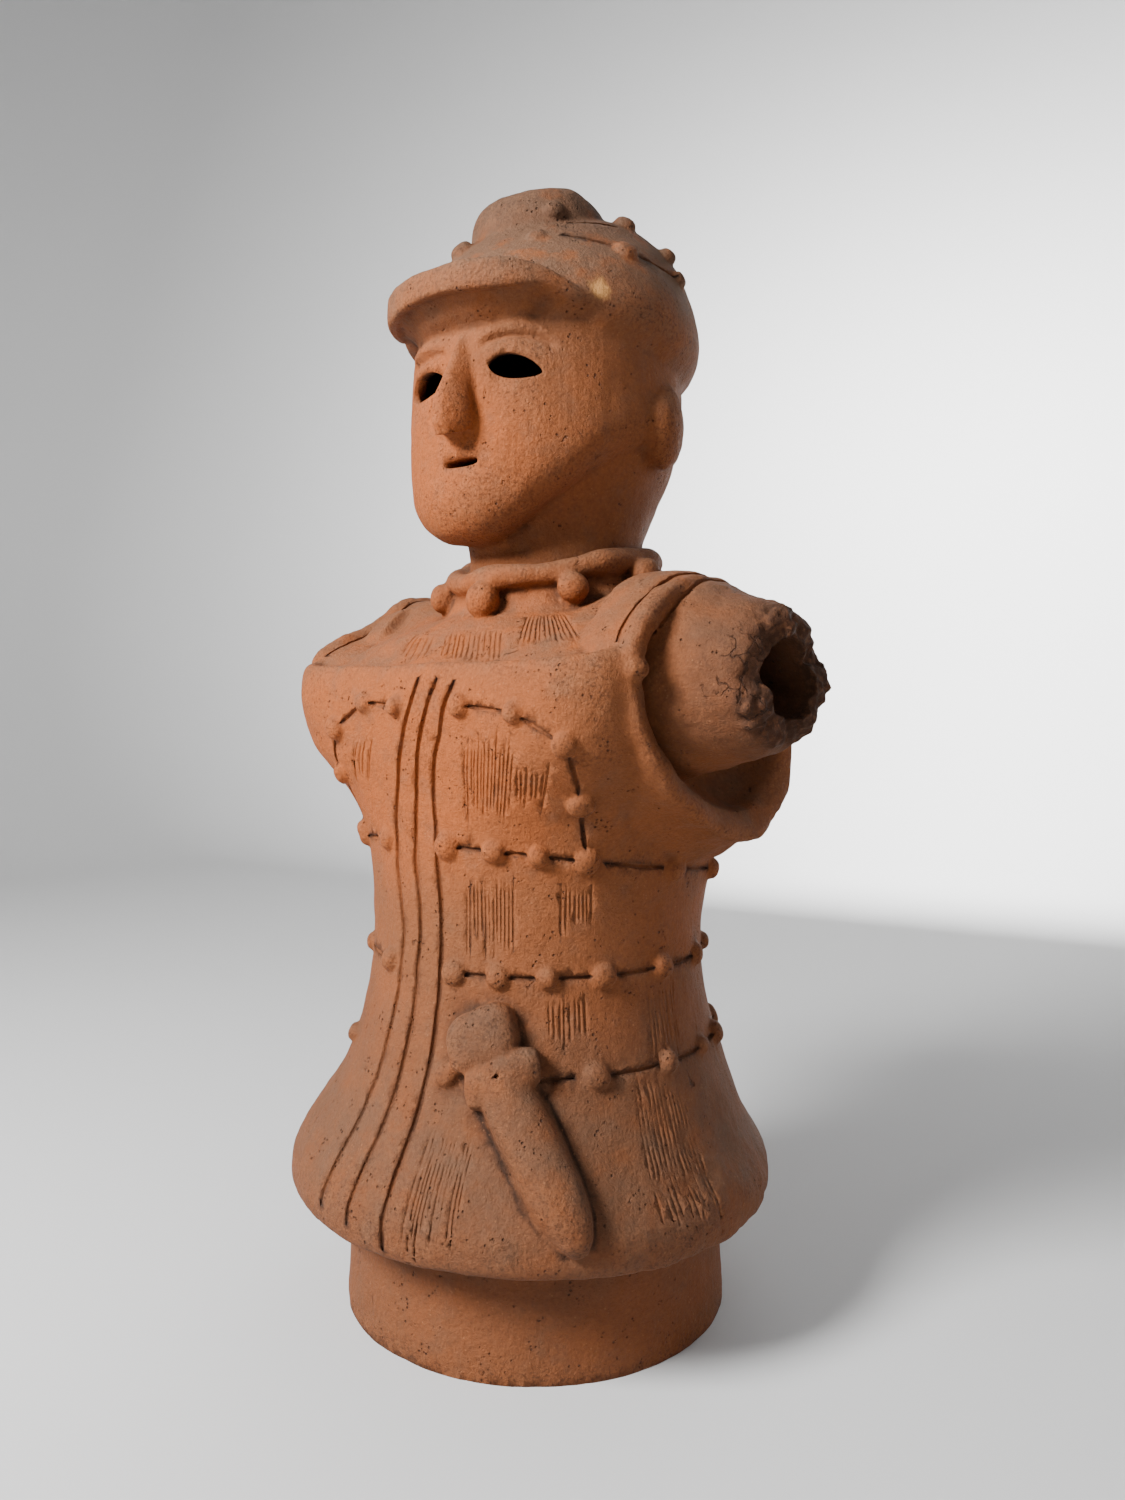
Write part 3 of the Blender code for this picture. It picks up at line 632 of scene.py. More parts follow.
head = {
    "centre": Vector((0.0, 0.0095, 0.0)),
    "halfWidth": 0.0735,
    "halfDepth": 0.0785,
    "turn": math.radians(8.0),
    "chin": 0.3995,
    "jawRise": 0.044,               # from the chin up to the ears
    "jawTurn": math.radians(-14.0),
    "jawSpread": (8.0, 95.0),       # degrees from the chin's middle where it starts, and over how many
    "jawTop": 0.478,                # height where the rise has faded out, and over how much
    "jawFade": 0.08,
    "ear": (95.0, 0.461),           # degrees from the face's middle, height
    "earSize": (0.0106, 0.0178, 0.0228),
    # nose down its ridge: forward, height, radius
    "nose": (
        (0.0735, 0.5, 0.0045), (0.0757, 0.493, 0.006), (0.0782, 0.484, 0.0074), (0.0812, 0.475, 0.009),
        (0.084, 0.467, 0.0106), (0.0852, 0.46, 0.0118), (0.085, 0.4545, 0.0119), (0.0835, 0.45, 0.0106)),
    "noseWide": 1.08,               # its root for its radius, and the share that the pinch takes off the ridge
    "nosePinch": 0.36,
    # brow ridges as (azimuth, height), the right one first, each with a soft groove below
    "brows": (
        ((-40.0, 0.499), (-31.0, 0.5008), (-22.0, 0.501), (-14.0, 0.4995), (-8.0, 0.497)),
        ((8.0, 0.497), (14.0, 0.5012), (23.0, 0.5034), (32.0, 0.5012), (40.0, 0.495))),
    "browRoll": (0.0036, -0.0012, 0.0),     # radius, rise from the face, drop below the row
    "browGroove": (0.003, 0.0004, 0.0048),
}


def facePlace():
    return Matrix.Translation(head["centre"]) @ Matrix.Rotation(head["turn"], 4, "Z")


def makeHead():
    wide = head["halfWidth"]
    chin = head["chin"]
    # outline in front; the jaw then rises towards the ears
    line = (
        (0.0, 0.54), (0.7 * wide, 0.535), (0.91 * wide, 0.515), (0.985 * wide, 0.495), (wide, 0.472),
        (1.005 * wide, 0.45), (1.0 * wide, 0.433), (0.98 * wide, chin + 0.0195), (0.935 * wide, chin + 0.01),
        (0.855 * wide, chin + 0.0035), (0.74 * wide, chin + 0.0003), (0.6 * wide, chin), (0.0, chin))

    def rule(points):
        azimuth = np.abs(azimuthOf(points) - head["jawTurn"])
        azimuth = np.minimum(azimuth, 2.0 * math.pi - azimuth)
        start, spread = (math.radians(degrees) for degrees in head["jawSpread"])
        rise = head["jawRise"] * easeStep((azimuth - start) / spread)
        points[:, 2] += rise * easeStep((head["jawTop"] - points[:, 2]) / head["jawFade"])
        points[:, 1] *= head["halfDepth"] / wide
        return placed(points, facePlace())

    return turnedForm("head", line, rule)


def onFace(degrees, height):
    # point of the plain face at an azimuth from its middle
    turn = math.radians(degrees)
    across, ahead = head["halfWidth"] * math.sin(turn), head["halfDepth"] * math.cos(turn)
    return facePlace() @ Vector((across, -ahead, height))


def makeNose():
    form = bmesh.new()
    place = facePlace()
    route = [place @ Vector((0.0, -forward, height)) for forward, height, _ in head["nose"]]
    radii = [radius for _, _, radius in head["nose"]]
    addTube(form, route, radii, place.to_3x3() @ Vector((0.0, -1.0, 0.0)), 1.0, 32)
    # pinched to a soft ridge
    back = place.inverted()
    for vert in form.verts:
        local = back @ vert.co
        ahead, radius = (float(easeRows(head["nose"][::-1], local.z, column, 1)) for column in (0, 2))
        proud = (-local.y - ahead) / radius
        local.x *= head["noseWide"] * (1.0 - head["nosePinch"] * float(easeStep((proud + 0.9) / 1.9)))
        vert.co = place @ local
    return meshOf(form, "nose")


def makeBrows(skin, kind):
    # thin rolls that are laid on the face, or pressed into it below the brows
    radius, rise, drop = head[kind]
    form = bmesh.new()
    for row in head["brows"]:
        degrees = np.linspace(row[0][0], row[-1][0], 25)
        spots = [skin.at(onFace(*spot)) for spot in zip(degrees, easeRows(row, degrees) - drop)]
        route = [spot + normal * rise for spot, normal in spots]
        radii = [radius * math.sin(math.pi * (0.08 + 0.84 * step / 24.0)) ** 0.5 for step in range(25)]
        addTube(form, route, radii, [normal for _, normal in spots])
    return meshOf(form, kind)


def makeEar(side):
    form = bmesh.new()
    degrees, height = head["ear"]
    azimuth = head["turn"] + side * math.radians(degrees)
    turn = Matrix.Rotation(azimuth - side * math.radians(83.0), 3, "Z")
    centre = head["centre"] + spoke(azimuth, head["halfWidth"] - 0.0038, height)
    addBall(form, centre, head["earSize"], turn)
    return meshOf(form, "ear")


# Helmet: bowl, small crown and visor.

helmet = {
    "height": 0.512,
    "tilt": math.radians(8.0),
    "lean": 0.28,                   # how far the bowl's top leans back for its height
    "bowl": (
        (0.0, 0.0735), (0.02, 0.0725), (0.0346, 0.069), (0.0455, 0.064), (0.0542, 0.0575), (0.0651, 0.0443),
        (0.0718, 0.0315), (0.0775, 0.02), (0.0812, 0.009), (0.0828, -0.001), (0.082, -0.006),
        (0.0795, -0.0105), (0.076, -0.0145), (0.072, -0.018), (0.06, -0.02), (0.0, -0.02)),
    "rimThinner": 0.78,             # share of the rim that is missing over the face
    # small crown, its flat top sloping to the front and falling away on one side
    "crownTop": 0.5972,
    "crownSlope": 0.19,
    "crownTurn": math.radians(15.0),
    "crownFall": (0.731, 0.682, 0.016, 0.5),    # towards x and y, where it starts, how steep
    "crown": (
        (0.0, 0.0), (0.012, -0.0004), (0.021, -0.0014), (0.028, -0.0036), (0.0332, -0.0072), (0.0365, -0.0125),
        (0.0382, -0.02), (0.0384, -0.032), (0.0378, -0.05), (0.0, -0.05)),
    "visor": (
        (0.0, 0.012), (0.03, 0.0095), (0.05, 0.0052), (0.059, 0.003), (0.065, 0.0028), (0.0678, 0.0015),
        (0.068, -0.001), (0.067, -0.0036), (0.064, -0.005), (0.0605, -0.0062), (0.0572, -0.0088),
        (0.054, -0.012), (0.0505, -0.0145), (0.046, -0.016), (0.0, -0.016)),
    "visorShift": 0.029,
    "visorHeight": 0.5215,
    "visorDrop": 0.007,             # of its left end
    "lipSize": (0.0034, 0.0076),    # half depth and half height of the rim
    "lipReach": 0.0655,
    "lipWander": ((0.0004, 5.0, 0.0), (0.0003, 13.0, 0.0)),
    "lipSway": ((0.0006, 3.0, 1.0),),
    "lipLift": 0.0006,
    "lipEnds": (-82.0, 72.0),
    # rivets: degrees from the face's middle, height, distance from the head's middle
    "rivets": (
        (-31, 0.56, 0.051), (28, 0.555, 0.054), (40, 0.5745, 0.0485), (71.6, 0.547, 0.066), (100, 0.577, 0.047),
        (107, 0.5437, 0.0745), (110, 0.5575, 0.066), (150, 0.55, 0.075), (190, 0.551, 0.078), (228, 0.55, 0.075),
        (268, 0.55, 0.068), (305, 0.553, 0.056), (150, 0.571, 0.06), (215, 0.571, 0.062), (280, 0.571, 0.05)),
    # lines cut round the bowl, each end as degrees, height, distance from the head's middle
    "lines": (
        ((43, 0.5545, 0.056), (66, 0.549, 0.062)), ((76, 0.5455, 0.067), (104, 0.544, 0.0745)),
        ((112, 0.545, 0.076), (290, 0.552, 0.062)), ((47, 0.5688, 0.045), (84, 0.569, 0.05))),
    "chip": (53.0, 0.52, 0.083),
}


def helmetPlace():
    place = Matrix.Translation((0.0, 0.002, helmet["height"]))
    return facePlace() @ place @ Matrix.Rotation(-helmet["tilt"], 4, "X")


def makeBowl():
    def rule(points):
        points[:, 1] += helmet["lean"] * np.maximum(points[:, 2], 0.0)
        # the rim is thinner over the face and on its right, behind the visor
        degrees = np.degrees(azimuthOf(points))
        thinner = helmet["rimThinner"] * easeStep((58.0 - degrees) / 26.0) * easeStep((degrees + 150.0) / 50.0)
        points[:, 2] -= thinner * np.minimum(points[:, 2], 0.0)
        return placed(points, helmetPlace())

    return turnedForm("helmet bowl", helmet["bowl"], rule)


def makeCrown():
    def rule(points):
        turn = helmet["crownTurn"]
        ahead = points[:, 0] * math.sin(turn) - points[:, 1] * math.cos(turn)
        points[:, 2] += helmet["crownTop"] - helmet["crownSlope"] * ahead
        across, back, start, steep = helmet["crownFall"]
        aside = across * points[:, 0] + back * points[:, 1]
        points[:, 2] -= steep * np.maximum(aside - start, 0.0)
        return points + np.array(head["centre"]) - np.array((0.0, 0.005, 0.0))

    return turnedForm("helmet crown", helmet["crown"], rule)


def visorFall(azimuth):
    # the visor's left end droops as it fades into the bowl
    return helmet["visorDrop"] * easeStep((azimuth - math.radians(42.0)) / math.radians(30.0))


def visorPlace():
    return facePlace() @ Matrix.Translation((0.0, -helmet["visorShift"], helmet["visorHeight"]))


def makeVisor():
    def rule(points):
        points[:, 2] -= visorFall(azimuthOf(points))
        return placed(points, visorPlace())

    return turnedForm("visor", helmet["visor"], rule)


def makeVisorLip():
    # crisp band of clay along the visor's edge
    form = bmesh.new()
    place = visorPlace()
    back = place.inverted()
    deep, tall = helmet["lipSize"]
    middle = helmet["lipReach"]
    first, last = helmet["lipEnds"]
    route = []
    radii = []
    for step in range(61):
        turn = math.radians(first + (last - first) * step / 60.0)
        reach = middle + float(waves(turn, helmet["lipWander"]))
        height = float(waves(turn, helmet["lipSway"])) - float(visorFall(turn)) + helmet["lipLift"]
        route.append(place @ spoke(turn, reach, height))
        # thinner towards the visor's left end
        taper = 1.0 - 0.72 * float(easeStep((turn - math.radians(24.0)) / math.radians(42.0)))
        radii.append(tall * taper * min(1.0, 0.25 + 6.0 * (1.0 - abs(step / 30.0 - 1.0))))
    addTube(form, route, radii, skyward, 1.0, 24, 0.6)
    for vert in form.verts:
        # squeezed towards the visor's middle
        local = back @ vert.co
        reach = math.hypot(local.x, local.y)
        closer = middle + (reach - middle) * deep / tall
        local.x *= closer / reach
        local.y *= closer / reach
        vert.co = place @ local
    return meshOf(form, "visor lip")


def headSpot(degrees, height, reach):
    return head["centre"] + spoke(head["turn"] + math.radians(degrees), reach, height)


# Rivets, pressed on as flattened pellets.

rivets = {
    "radius": 0.006,
    "rise": 0.005,
    "flatRise": 0.0032,             # of the helmet's pair that was pressed flatter
    "flatPair": (1, 2),
    "sink": 0.0004,
    "blunt": 0.62,
    "leftBreast": ((16.9, 0.315), (30.7, 0.3115), (41.5, 0.297), (49.7, 0.2692), (56.1, 0.2413)),
    "rightBreast": ((-5.0, 0.3142), (-16.3, 0.3165), (-27.5, 0.3025), (-33.5, 0.278), (-40.0, 0.248)),
    # rows round the body: height in front and behind, azimuths in degrees
    "rows": (
        (0.247, 0.221, (-16.8, 12.2, 28, 41.3, 56.1, 92.5, 119, 143, 167, 191, 215, 239, 263, 291, 320)),
        (0.1855, 0.186, (-44, -14.5, 15.5, 30.3, 45.5, 63.5, 87, 110, 131, 152, 174, 196, 218, 240, 262, 285)),
        (0.14, 0.143, (-36, 17.5, 60.3, 84.3, 103.5, 118, 137, 159, 181, 203, 225, 247, 269, 292)),
    ),
}


def rowHeight(row, degrees):
    share = 0.5 - 0.5 * math.cos(math.radians(degrees))
    return row[0] + share * (row[1] - row[0])


def makeRivets(skin):
    form = bmesh.new()
    spots = [onTorso(*rivet)[0] for rivet in rivets["leftBreast"] + rivets["rightBreast"]]
    for row in rivets["rows"]:
        spots += [onTorso(degrees, rowHeight(row, degrees))[0] for degrees in row[2]]
    spots += [headSpot(*rivet) for rivet in helmet["rivets"]]
    onHelmet = len(spots) - len(helmet["rivets"])
    for index, rough in enumerate(spots):
        spot, normal = skin.at(rough)
        turn = axisTurn(normal, skyward) @ Matrix.Rotation(index * 2.1, 3, "Z")
        wide = rivets["radius"] * (1.0 + 0.13 * math.sin(index * 4.7))
        tall = rivets["flatRise" if index - onHelmet in rivets["flatPair"] else "rise"]
        tall *= 1.0 + 0.12 * math.sin(index * 2.9)
        addPellet(form, spot - normal * rivets["sink"], (wide, wide * 0.93, tall), turn, rivets["blunt"])
    return meshOf(form, "rivets")


# Dagger: sheath, guard band and pommel.

dagger = {
    "sheath": ((34.0, 0.14), (36.0, 0.1325), (39.6, 0.1225), (42.8, 0.1135), (45.4, 0.105), (47.8, 0.097),
               (49.8, 0.0895), (51.2, 0.0835), (52.2, 0.078), (52.8, 0.0735)),
    "sheathRadius": (0.0134, 0.0136, 0.0136, 0.0136, 0.0136, 0.0134, 0.0124, 0.0104, 0.0074, 0.0034),
    "sheathRise": 0.0012,           # of its middle line over the skirt
    "edging": 0.0018,               # how far the flat edging stands out round the sheath
    "guard": ((25.3, 0.1332), (27.6, 0.1349), (31.0, 0.1374), (34.5, 0.1403), (38.0, 0.1434), (41.2, 0.1456),
              (43.6, 0.1468)),
    "guardRadius": (0.005, 0.0068, 0.0078, 0.008, 0.0078, 0.0068, 0.0048),
    "guardRise": 0.0045,
    "guardDrop": (0.0024, -0.0004, -0.0032),    # its three bands, from the lowest to the highest
    "pommel": (27.5, 0.1575),
    "pommelSize": (0.035, 0.0285, 0.0205),
    "pommelRound": 0.34,            # share of its size that the edges are rounded by
    "pommelLean": 0.14,
}


def sheathEdges():
    # the two lines where the sheath meets the skirt
    spots = [onTorso(degrees, height) for degrees, height in dagger["sheath"]]
    edges = []
    for side in (1.0, -1.0):
        route = []
        for index, (spot, normal) in enumerate(spots):
            along = spots[min(index + 1, len(spots) - 1)][0] - spots[max(index - 1, 0)][0]
            across = along.cross(normal).normalized()
            route.append(spot + across * side * (dagger["sheathRadius"][index] + dagger["edging"] + 0.0004))
        edges.append(route)
    return edges


def makeDagger():
    form = bmesh.new()
    spots = [onTorso(degrees, height) for degrees, height in dagger["sheath"]]
    normals = [normal for _, normal in spots]
    rise = dagger["sheathRise"]
    addTube(form, [spot + normal * rise for spot, normal in spots], dagger["sheathRadius"], normals, 0.92, 32, 0.9)
    # flat edging round the sheath's sides and tip
    wider = [radius + dagger["edging"] for radius in dagger["sheathRadius"]]
    addTube(form, [spot - normal * rise for spot, normal in spots], wider, normals, 0.26, 32, 0.9)
    spots = [onTorso(degrees, height) for degrees, height in dagger["guard"]]
    normals = [normal for _, normal in spots]
    for drop in dagger["guardDrop"]:
        lower = Vector((0.1, 0.0, -1.0)) * drop
        route = [spot + normal * dagger["guardRise"] + lower for spot, normal in spots]
        addTube(form, route, dagger["guardRadius"], normals, 0.92, 24, 0.85)
    middle, outward = onTorso(*dagger["pommel"], 0.0015)
    along = onTorso(28.0, 0.172)[0] - onTorso(33.5, 0.142)[0]
    place = Matrix.Translation(middle) @ axisTurn(outward, along).to_4x4()
    block = bmesh.ops.create_cube(form, size=1.0)["verts"]
    edges = list({edge for vert in block for edge in vert.link_edges})
    bevelled = bmesh.ops.bevel(
        form, geom=edges, offset=dagger["pommelRound"], segments=6, profile=0.5, affect="EDGES", material=-1)
    size = Matrix.Diagonal((*dagger["pommelSize"], 1.0))
    lean = Matrix.Identity(4)
    lean[1][0] = dagger["pommelLean"]
    bmesh.ops.transform(form, matrix=place @ lean @ size, verts=bevelled["verts"])
    return meshOf(form, "dagger")


# Hollows: torso, head, arms, eyes and mouth.

hollows = {
    "torso": (
        (0.0, 0.36), (0.032, 0.36), (0.06, 0.348), (0.076, 0.328), (0.079, 0.3), (0.079, 0.262),
        (0.076, 0.23), (0.0755, 0.2), (0.0785, 0.162), (0.085, 0.125), (0.087, 0.1), (0.087, -0.02),
        (0.0, -0.02)),
    "head": (
        (0.0, 0.58), (0.018, 0.578), (0.036, 0.565), (0.052, 0.545), (0.063, 0.518), (0.0665, 0.49),
        (0.066, 0.468), (0.057, 0.444), (0.042, 0.426), (0.034, 0.412), (0.034, 0.345), (0.0, 0.345)),
    # face cuts: degrees from the face's middle, height, half width, rise, fall, slope in degrees,
    # how pointed the ends are, and how much fuller the cut is on its right
    "leftEye": (22.2, 0.4808, 0.0117, 0.006, 0.0048, -11.0, 0.2, 0.22),
    "rightEye": (-21.2, 0.48, 0.015, 0.0066, 0.0062, -2.0, 0.1, 0.1),
    "mouth": (0.2, 0.4363, 0.0096, 0.0025, 0.002, 0.0, -0.35, 0.0),
    "chest": (0.235, 0.03),         # height where the chest's hollow starts, and over how much
    "neck": (0.415, 0.04),          # the same for where the head's leaves the neck's middle
    "flare": 2.0,                   # the cuts widen inwards
    "cutDepth": 0.044,
    "cutReach": 0.062,              # of a cut's middle from the head's axis
}


def makeTorsoHollow():
    def rule(points):
        depth = easeRows(torso["sections"], points[:, 2])
        start, grown = hollows["chest"]
        chest = easeStep((points[:, 2] - start) / grown)
        points[:, 1] *= depth * (1.0 - chest) + 0.95 * chest
        return points

    return turnedForm("torso hollow", hollows["torso"], rule, 48, dense=False)


def makeHeadHollow():
    def rule(points):
        # round the head's middle above, round the neck's below
        start, grown = hollows["neck"]
        share = easeStep((points[:, 2] - start) / grown)[:, None]
        points[:, 1] *= 1.0 + 0.055 * share[:, 0]
        return points + share * np.array(head["centre"]) + (1.0 - share) * np.array(neck["centre"])

    return turnedForm("head hollow", hollows["head"], rule, 40, dense=False)


def makeFaceCut(name):
    # lens-shaped cutter that points in at the head's axis
    degrees, height, wide, rise, fall, slope, pointed, fuller = hollows[name]
    form = bmesh.new()
    bmesh.ops.create_cone(
        form, cap_ends=True, segments=64, radius1=hollows["flare"], radius2=1.0, depth=hollows["cutDepth"])
    for vert in form.verts:
        size = math.hypot(vert.co.x, vert.co.y)
        edge = abs(vert.co.y) / size
        vert.co.y *= max(edge, 0.02) ** pointed * (rise if vert.co.y > 0.0 else fall)
        vert.co.y *= 1.0 - fuller * vert.co.x / size
        vert.co.x *= wide
    outward = spoke(math.radians(degrees), 1.0)
    place = facePlace() @ Matrix.Translation(outward * hollows["cutReach"] + skyward * height)
    place = place @ axisTurn(outward, skyward).to_4x4()
    place = place @ Matrix.Rotation(math.radians(slope), 4, "Z")
    bmesh.ops.transform(form, matrix=place, verts=form.verts)
    return meshOf(form, name)


def makeGroundCut():
    # trims the foot level with the ground
    form = bmesh.new()
    wide, deep = 0.5, 0.04
    place = placeOf(skyward * (-0.5 * deep), Matrix.Identity(3), (wide, wide, deep))
    bmesh.ops.create_cube(form, size=1.0, matrix=place)
    return meshOf(form, "ground cut")


# Lines cut with a round tool: front grooves, slots between rivets, combing.

grooves = {
    # round tools: radius, how deep the middle sinks, facets
    "tools": {
        "front grooves": (0.0016, 0.0004, 10), "rivet slots": (0.0012, 0.0003, 8), "seams": (0.0011, 0.0003, 8),
    },
    # how wide the dirt and painted shade in a line reaches
    "dirt_and_shade": {"front grooves": 0.0018, "rivet slots": 0.0015, "seams": 0.0013, "sheath edges": 0.0014},
    "slot": (0.16, 0.68),           # where a slot starts between two rivets and its length, as shares
    # front grooves as (sideways, height) points on the front of the body
    "front": (
        ((0.0065, 0.3285), (0.001, 0.315), (-0.0045, 0.303), (-0.0118, 0.28), (-0.0175, 0.25), (-0.0178, 0.236),
         (-0.014, 0.211), (-0.0122, 0.195), (-0.0119, 0.167), (-0.0134, 0.143), (-0.016, 0.122), (-0.0215, 0.074)),
        ((0.0205, 0.328), (0.0135, 0.315), (0.0052, 0.294), (0.0002, 0.267), (-0.002, 0.238), (0.0008, 0.213),
         (0.0008, 0.189), (0.0025, 0.162), (0.0025, 0.144), (0.0018, 0.124), (0.0002, 0.072)),
        ((0.0325, 0.3265), (0.0262, 0.315), (0.0218, 0.303), (0.0155, 0.286), (0.013, 0.268), (0.0135, 0.239),
         (0.0157, 0.215), (0.016, 0.191), (0.0174, 0.168), (0.0184, 0.149), (0.0192, 0.128), (0.0229, 0.066)),
    ),
}


class Skin:
    # the finished outside, asked for its nearest point and normal
    def __init__(self, mesh):
        self.tree = BVHTree.FromPolygons(
            [vert.co for vert in mesh.vertices], [tuple(face.vertices) for face in mesh.polygons])

    def at(self, spot, rise=0.0):
        place, normal, _, _ = self.tree.find_nearest(spot)
        return place + normal * rise, normal

    def above(self, x, y):
        # point of the yoke seen from above
        return self.tree.ray_cast(Vector((x, y, 0.385)), Vector((0.0, 0.0, -1.0)))[0]

    def front(self, x, z):
        # point of the front at a sideways place and height
        return self.tree.ray_cast(Vector((x, -0.5, z)), Vector((0.0, 1.0, 0.0)))[0]


def cutTube(form, skin, spots, radius, sink, facets):
    # a round tool drawn through the skin, its two ends thin
    route, normals = zip(*(skin.at(spot, -sink) for spot in spots))
    radii = [radius] * len(route)
    radii[0] = radii[-1] = radius * 0.35
    addTube(form, route, radii, list(normals), 1.0, facets)


def grooveRoutes(skin):
    routes = []
    for line in grooves["front"]:
        heights = np.linspace(line[-1][1], line[0][1], 64)
        across = easeRows(line[::-1], heights, 0, 1)
        routes.append([skin.front(x, z) for x, z in zip(across, heights)])
    return routes


def slotRoutes():
    # short lines that join neighbouring rivets, clear of the pellets themselves
    pairs = []
    for breast in (rivets["leftBreast"], rivets["rightBreast"]):
        pairs += list(zip(breast, breast[1:]))
    for row in rivets["rows"]:
        ring = [(degrees, rowHeight(row, degrees)) for degrees in row[2]]
        for start, stop in zip(ring, ring[1:] + [(ring[0][0] + 360, ring[0][1])]):
            if start[0] < 0 < stop[0]:
                continue
            pairs.append((start, stop))
    routes = []
    first, length = grooves["slot"]
    for start, stop in pairs:
        spots = []
        for step in range(7):
            share = first + length * step / 6.0
            degrees = start[0] + share * (stop[0] - start[0])
            height = start[1] + share * (stop[1] - start[1])
            spots.append(onTorso(degrees, height)[0])
        routes.append(spots)
    return routes


def helmetRoutes():
    routes = []
    for start, stop in helmet["lines"]:
        steps = max(8, int((stop[0] - start[0]) / 3.0))
        rows = np.linspace(start, stop, steps + 1)
        routes.append([headSpot(*row) for row in rows])
    return routes


def plateRoute(skin):
    # seam where the yoke meets the back of the chest plate's edge
    route = []
    for step in range(41):
        turn = math.radians(-39.0 + 80.0 * step / 40.0)
        spot = torsoPoints(np.array([turn]), np.array([0.1062]), np.array([0.3325]))[0]
        route.append(skin.above(spot[0], spot[1]))
    return route


def makeLines(skin, name, routes):
    form = bmesh.new()
    for route in routes:
        cutTube(form, skin, route, *grooves["tools"][name])
    return meshOf(form, name)


combs = {
    "radius": 0.00072,
    "rise": 0.00025,                # of a tooth's middle over the skin
    "finePatches": (6, 7, 8),       # those on the skirt, combed with finer teeth
    "fineShare": 0.78,
    # patches on the torso: azimuth from and to, top and bottom height, strokes, slant in degrees
    "patches": (
        (18.2, 31.3, 0.2995, 0.261, 14, 0.3),
        (32.6, 39.6, 0.286, 0.269, 7, 0.8),
        (-21.0, -13.6, 0.298, 0.275, 6, -5.5),
        (19.5, 34.5, 0.232, 0.197, 13, 0.5),
        (49.0, 58.5, 0.23, 0.205, 8, 0.5),
        (46.5, 57.0, 0.1745, 0.156, 8, 0.5),
        (17.0, 28.6, 0.118, 0.0715, 13, -0.5),
        (80.0, 92.0, 0.183, 0.146, 8, -1.0),
        (71.0, 87.5, 0.136, 0.08, 13, 0.6),
    ),
    # patches on the yoke: four corners as (sideways, forward), along the top then along the bottom, strokes
    "yoke": (
        ((0.0358, 0.044), (0.052, 0.035), (0.08, 0.055), (0.05, 0.066), 12),
        ((-0.006, 0.061), (0.032, 0.059), (0.044, 0.073), (0.004, 0.074), 12),
        ((-0.034, 0.057), (-0.016, 0.061), (-0.012, 0.072), (-0.034, 0.069), 5),
    ),
}


def makeCombs(skin):
    form = bmesh.new()
    for patch, (start, stop, top, bottom, count, slant) in enumerate(combs["patches"]):
        for stroke in range(count):
            dice = [noise.noise(Vector((patch * 3.1, stroke * 0.73, pick))) for pick in range(4)]
            share = (stroke + 0.35 * dice[0]) / (count - 1)
            first = top + 0.01 * dice[1] * (top - bottom) / 0.035
            finish = bottom + 0.02 * dice[2] * (top - bottom) / 0.035
            spots = []
            for step in range(6):
                down = step / 5.0
                degrees = start + share * (stop - start) + slant * down
                spots.append(onTorso(degrees, first + down * (finish - first))[0])
            radius = combs["radius"] * (1.0 + 0.35 * dice[3])
            radius *= combs["fineShare"] if patch in combs["finePatches"] else 1.0
            cutTube(form, skin, spots, radius, -combs["rise"], 6)
    for patch, (topStart, topStop, lowStop, lowStart, count) in enumerate(combs["yoke"]):
        for stroke in range(count):
            dice = [noise.noise(Vector((patch * 5.3 + 40.0, stroke * 0.81, pick))) for pick in range(3)]
            share = (stroke + 0.3 * dice[0]) / (count - 1)
            high = Vector(topStart).lerp(Vector(topStop), share)
            low = Vector(lowStart).lerp(Vector(lowStop), share)
            spots = []
            for step in range(6):
                along = 0.12 * dice[1] + (1.0 + 0.12 * dice[2]) * step / 5.0
                spot = high.lerp(low, along)
                spots.append(skin.above(spot.x, -spot.y))
            cutTube(form, skin, spots, combs["radius"], -combs["rise"], 6)
    return meshOf(form, "combing")


# The piece.

def layUp():
    body = newObject("haniwa", makeTorso())
    cut(body, [makeArmhole(side) for side in bothSides], "EXACT", "UNION")
    cut(body, [makeArmRecess(side) for side in bothSides], "EXACT")
    joinForms(body, [
        makeArm(1), makeArm(-1), makeSeat(), makeNeck(), makeHead(), makeEar(1), makeEar(-1),
        makeBowl(), makeCrown(), makeVisor()])
    melt(body)
    smoothForm(body, clay["bigBlend"])
    print("laid up the big forms:", len(body.data.vertices), "points")
    skin = Skin(body.data)
    cut(body, [makeBrows(skin, "browGroove")])
    joinForms(body, [
        makeNose(), makeBrows(skin, "browRoll"), makeVisorLip(), makeCollar(), makeBeads(), makeRivets(skin),
        makeDagger(), makeStrap(1), makeStrap(-1)])
    melt(body)
    smoothForm(body, clay["smallBlend"])
    print("added the small forms:", len(body.data.vertices), "points")
    return body


def uneven(points, layers):
    # several clouds on top of each other, each as height, size and seed
    return sum(height * cloud(points, size, seed) for height, size, seed in layers)


def handle(body):
    # the hand's slight unevenness all over, and the rough broken ends
    points = readPoints(body.data)
    normals = readPoints(body.data, "normal")
    rise = uneven(points, clay["uneven"])
    rise += uneven(points * (1.0, 1.0, 0.45), [clay["streaks"]])
    arm = easeStep((np.abs(points[:, 0]) - 0.1) / 0.015) * easeStep((0.075 - np.abs(points[:, 1])) / 0.02)
    chosen = np.flatnonzero(arm > 0.0)
    rise[chosen] += arm[chosen] * uneven(points[chosen], clay["armUneven"])
    rough = fractures(points)
    chosen = np.flatnonzero(rough > 0.0)
    crumbs = 0.0034 * np.abs(cloud(points[chosen], 0.0085, 3.0)) + 0.0016 * cloud(points[chosen], 0.004, 4.0)
    rise[chosen] = rise[chosen] * (1.0 - rough[chosen]) - rough[chosen] * (crumbs - 0.0006)
    writePoints(body.data, points + normals * rise[:, None])


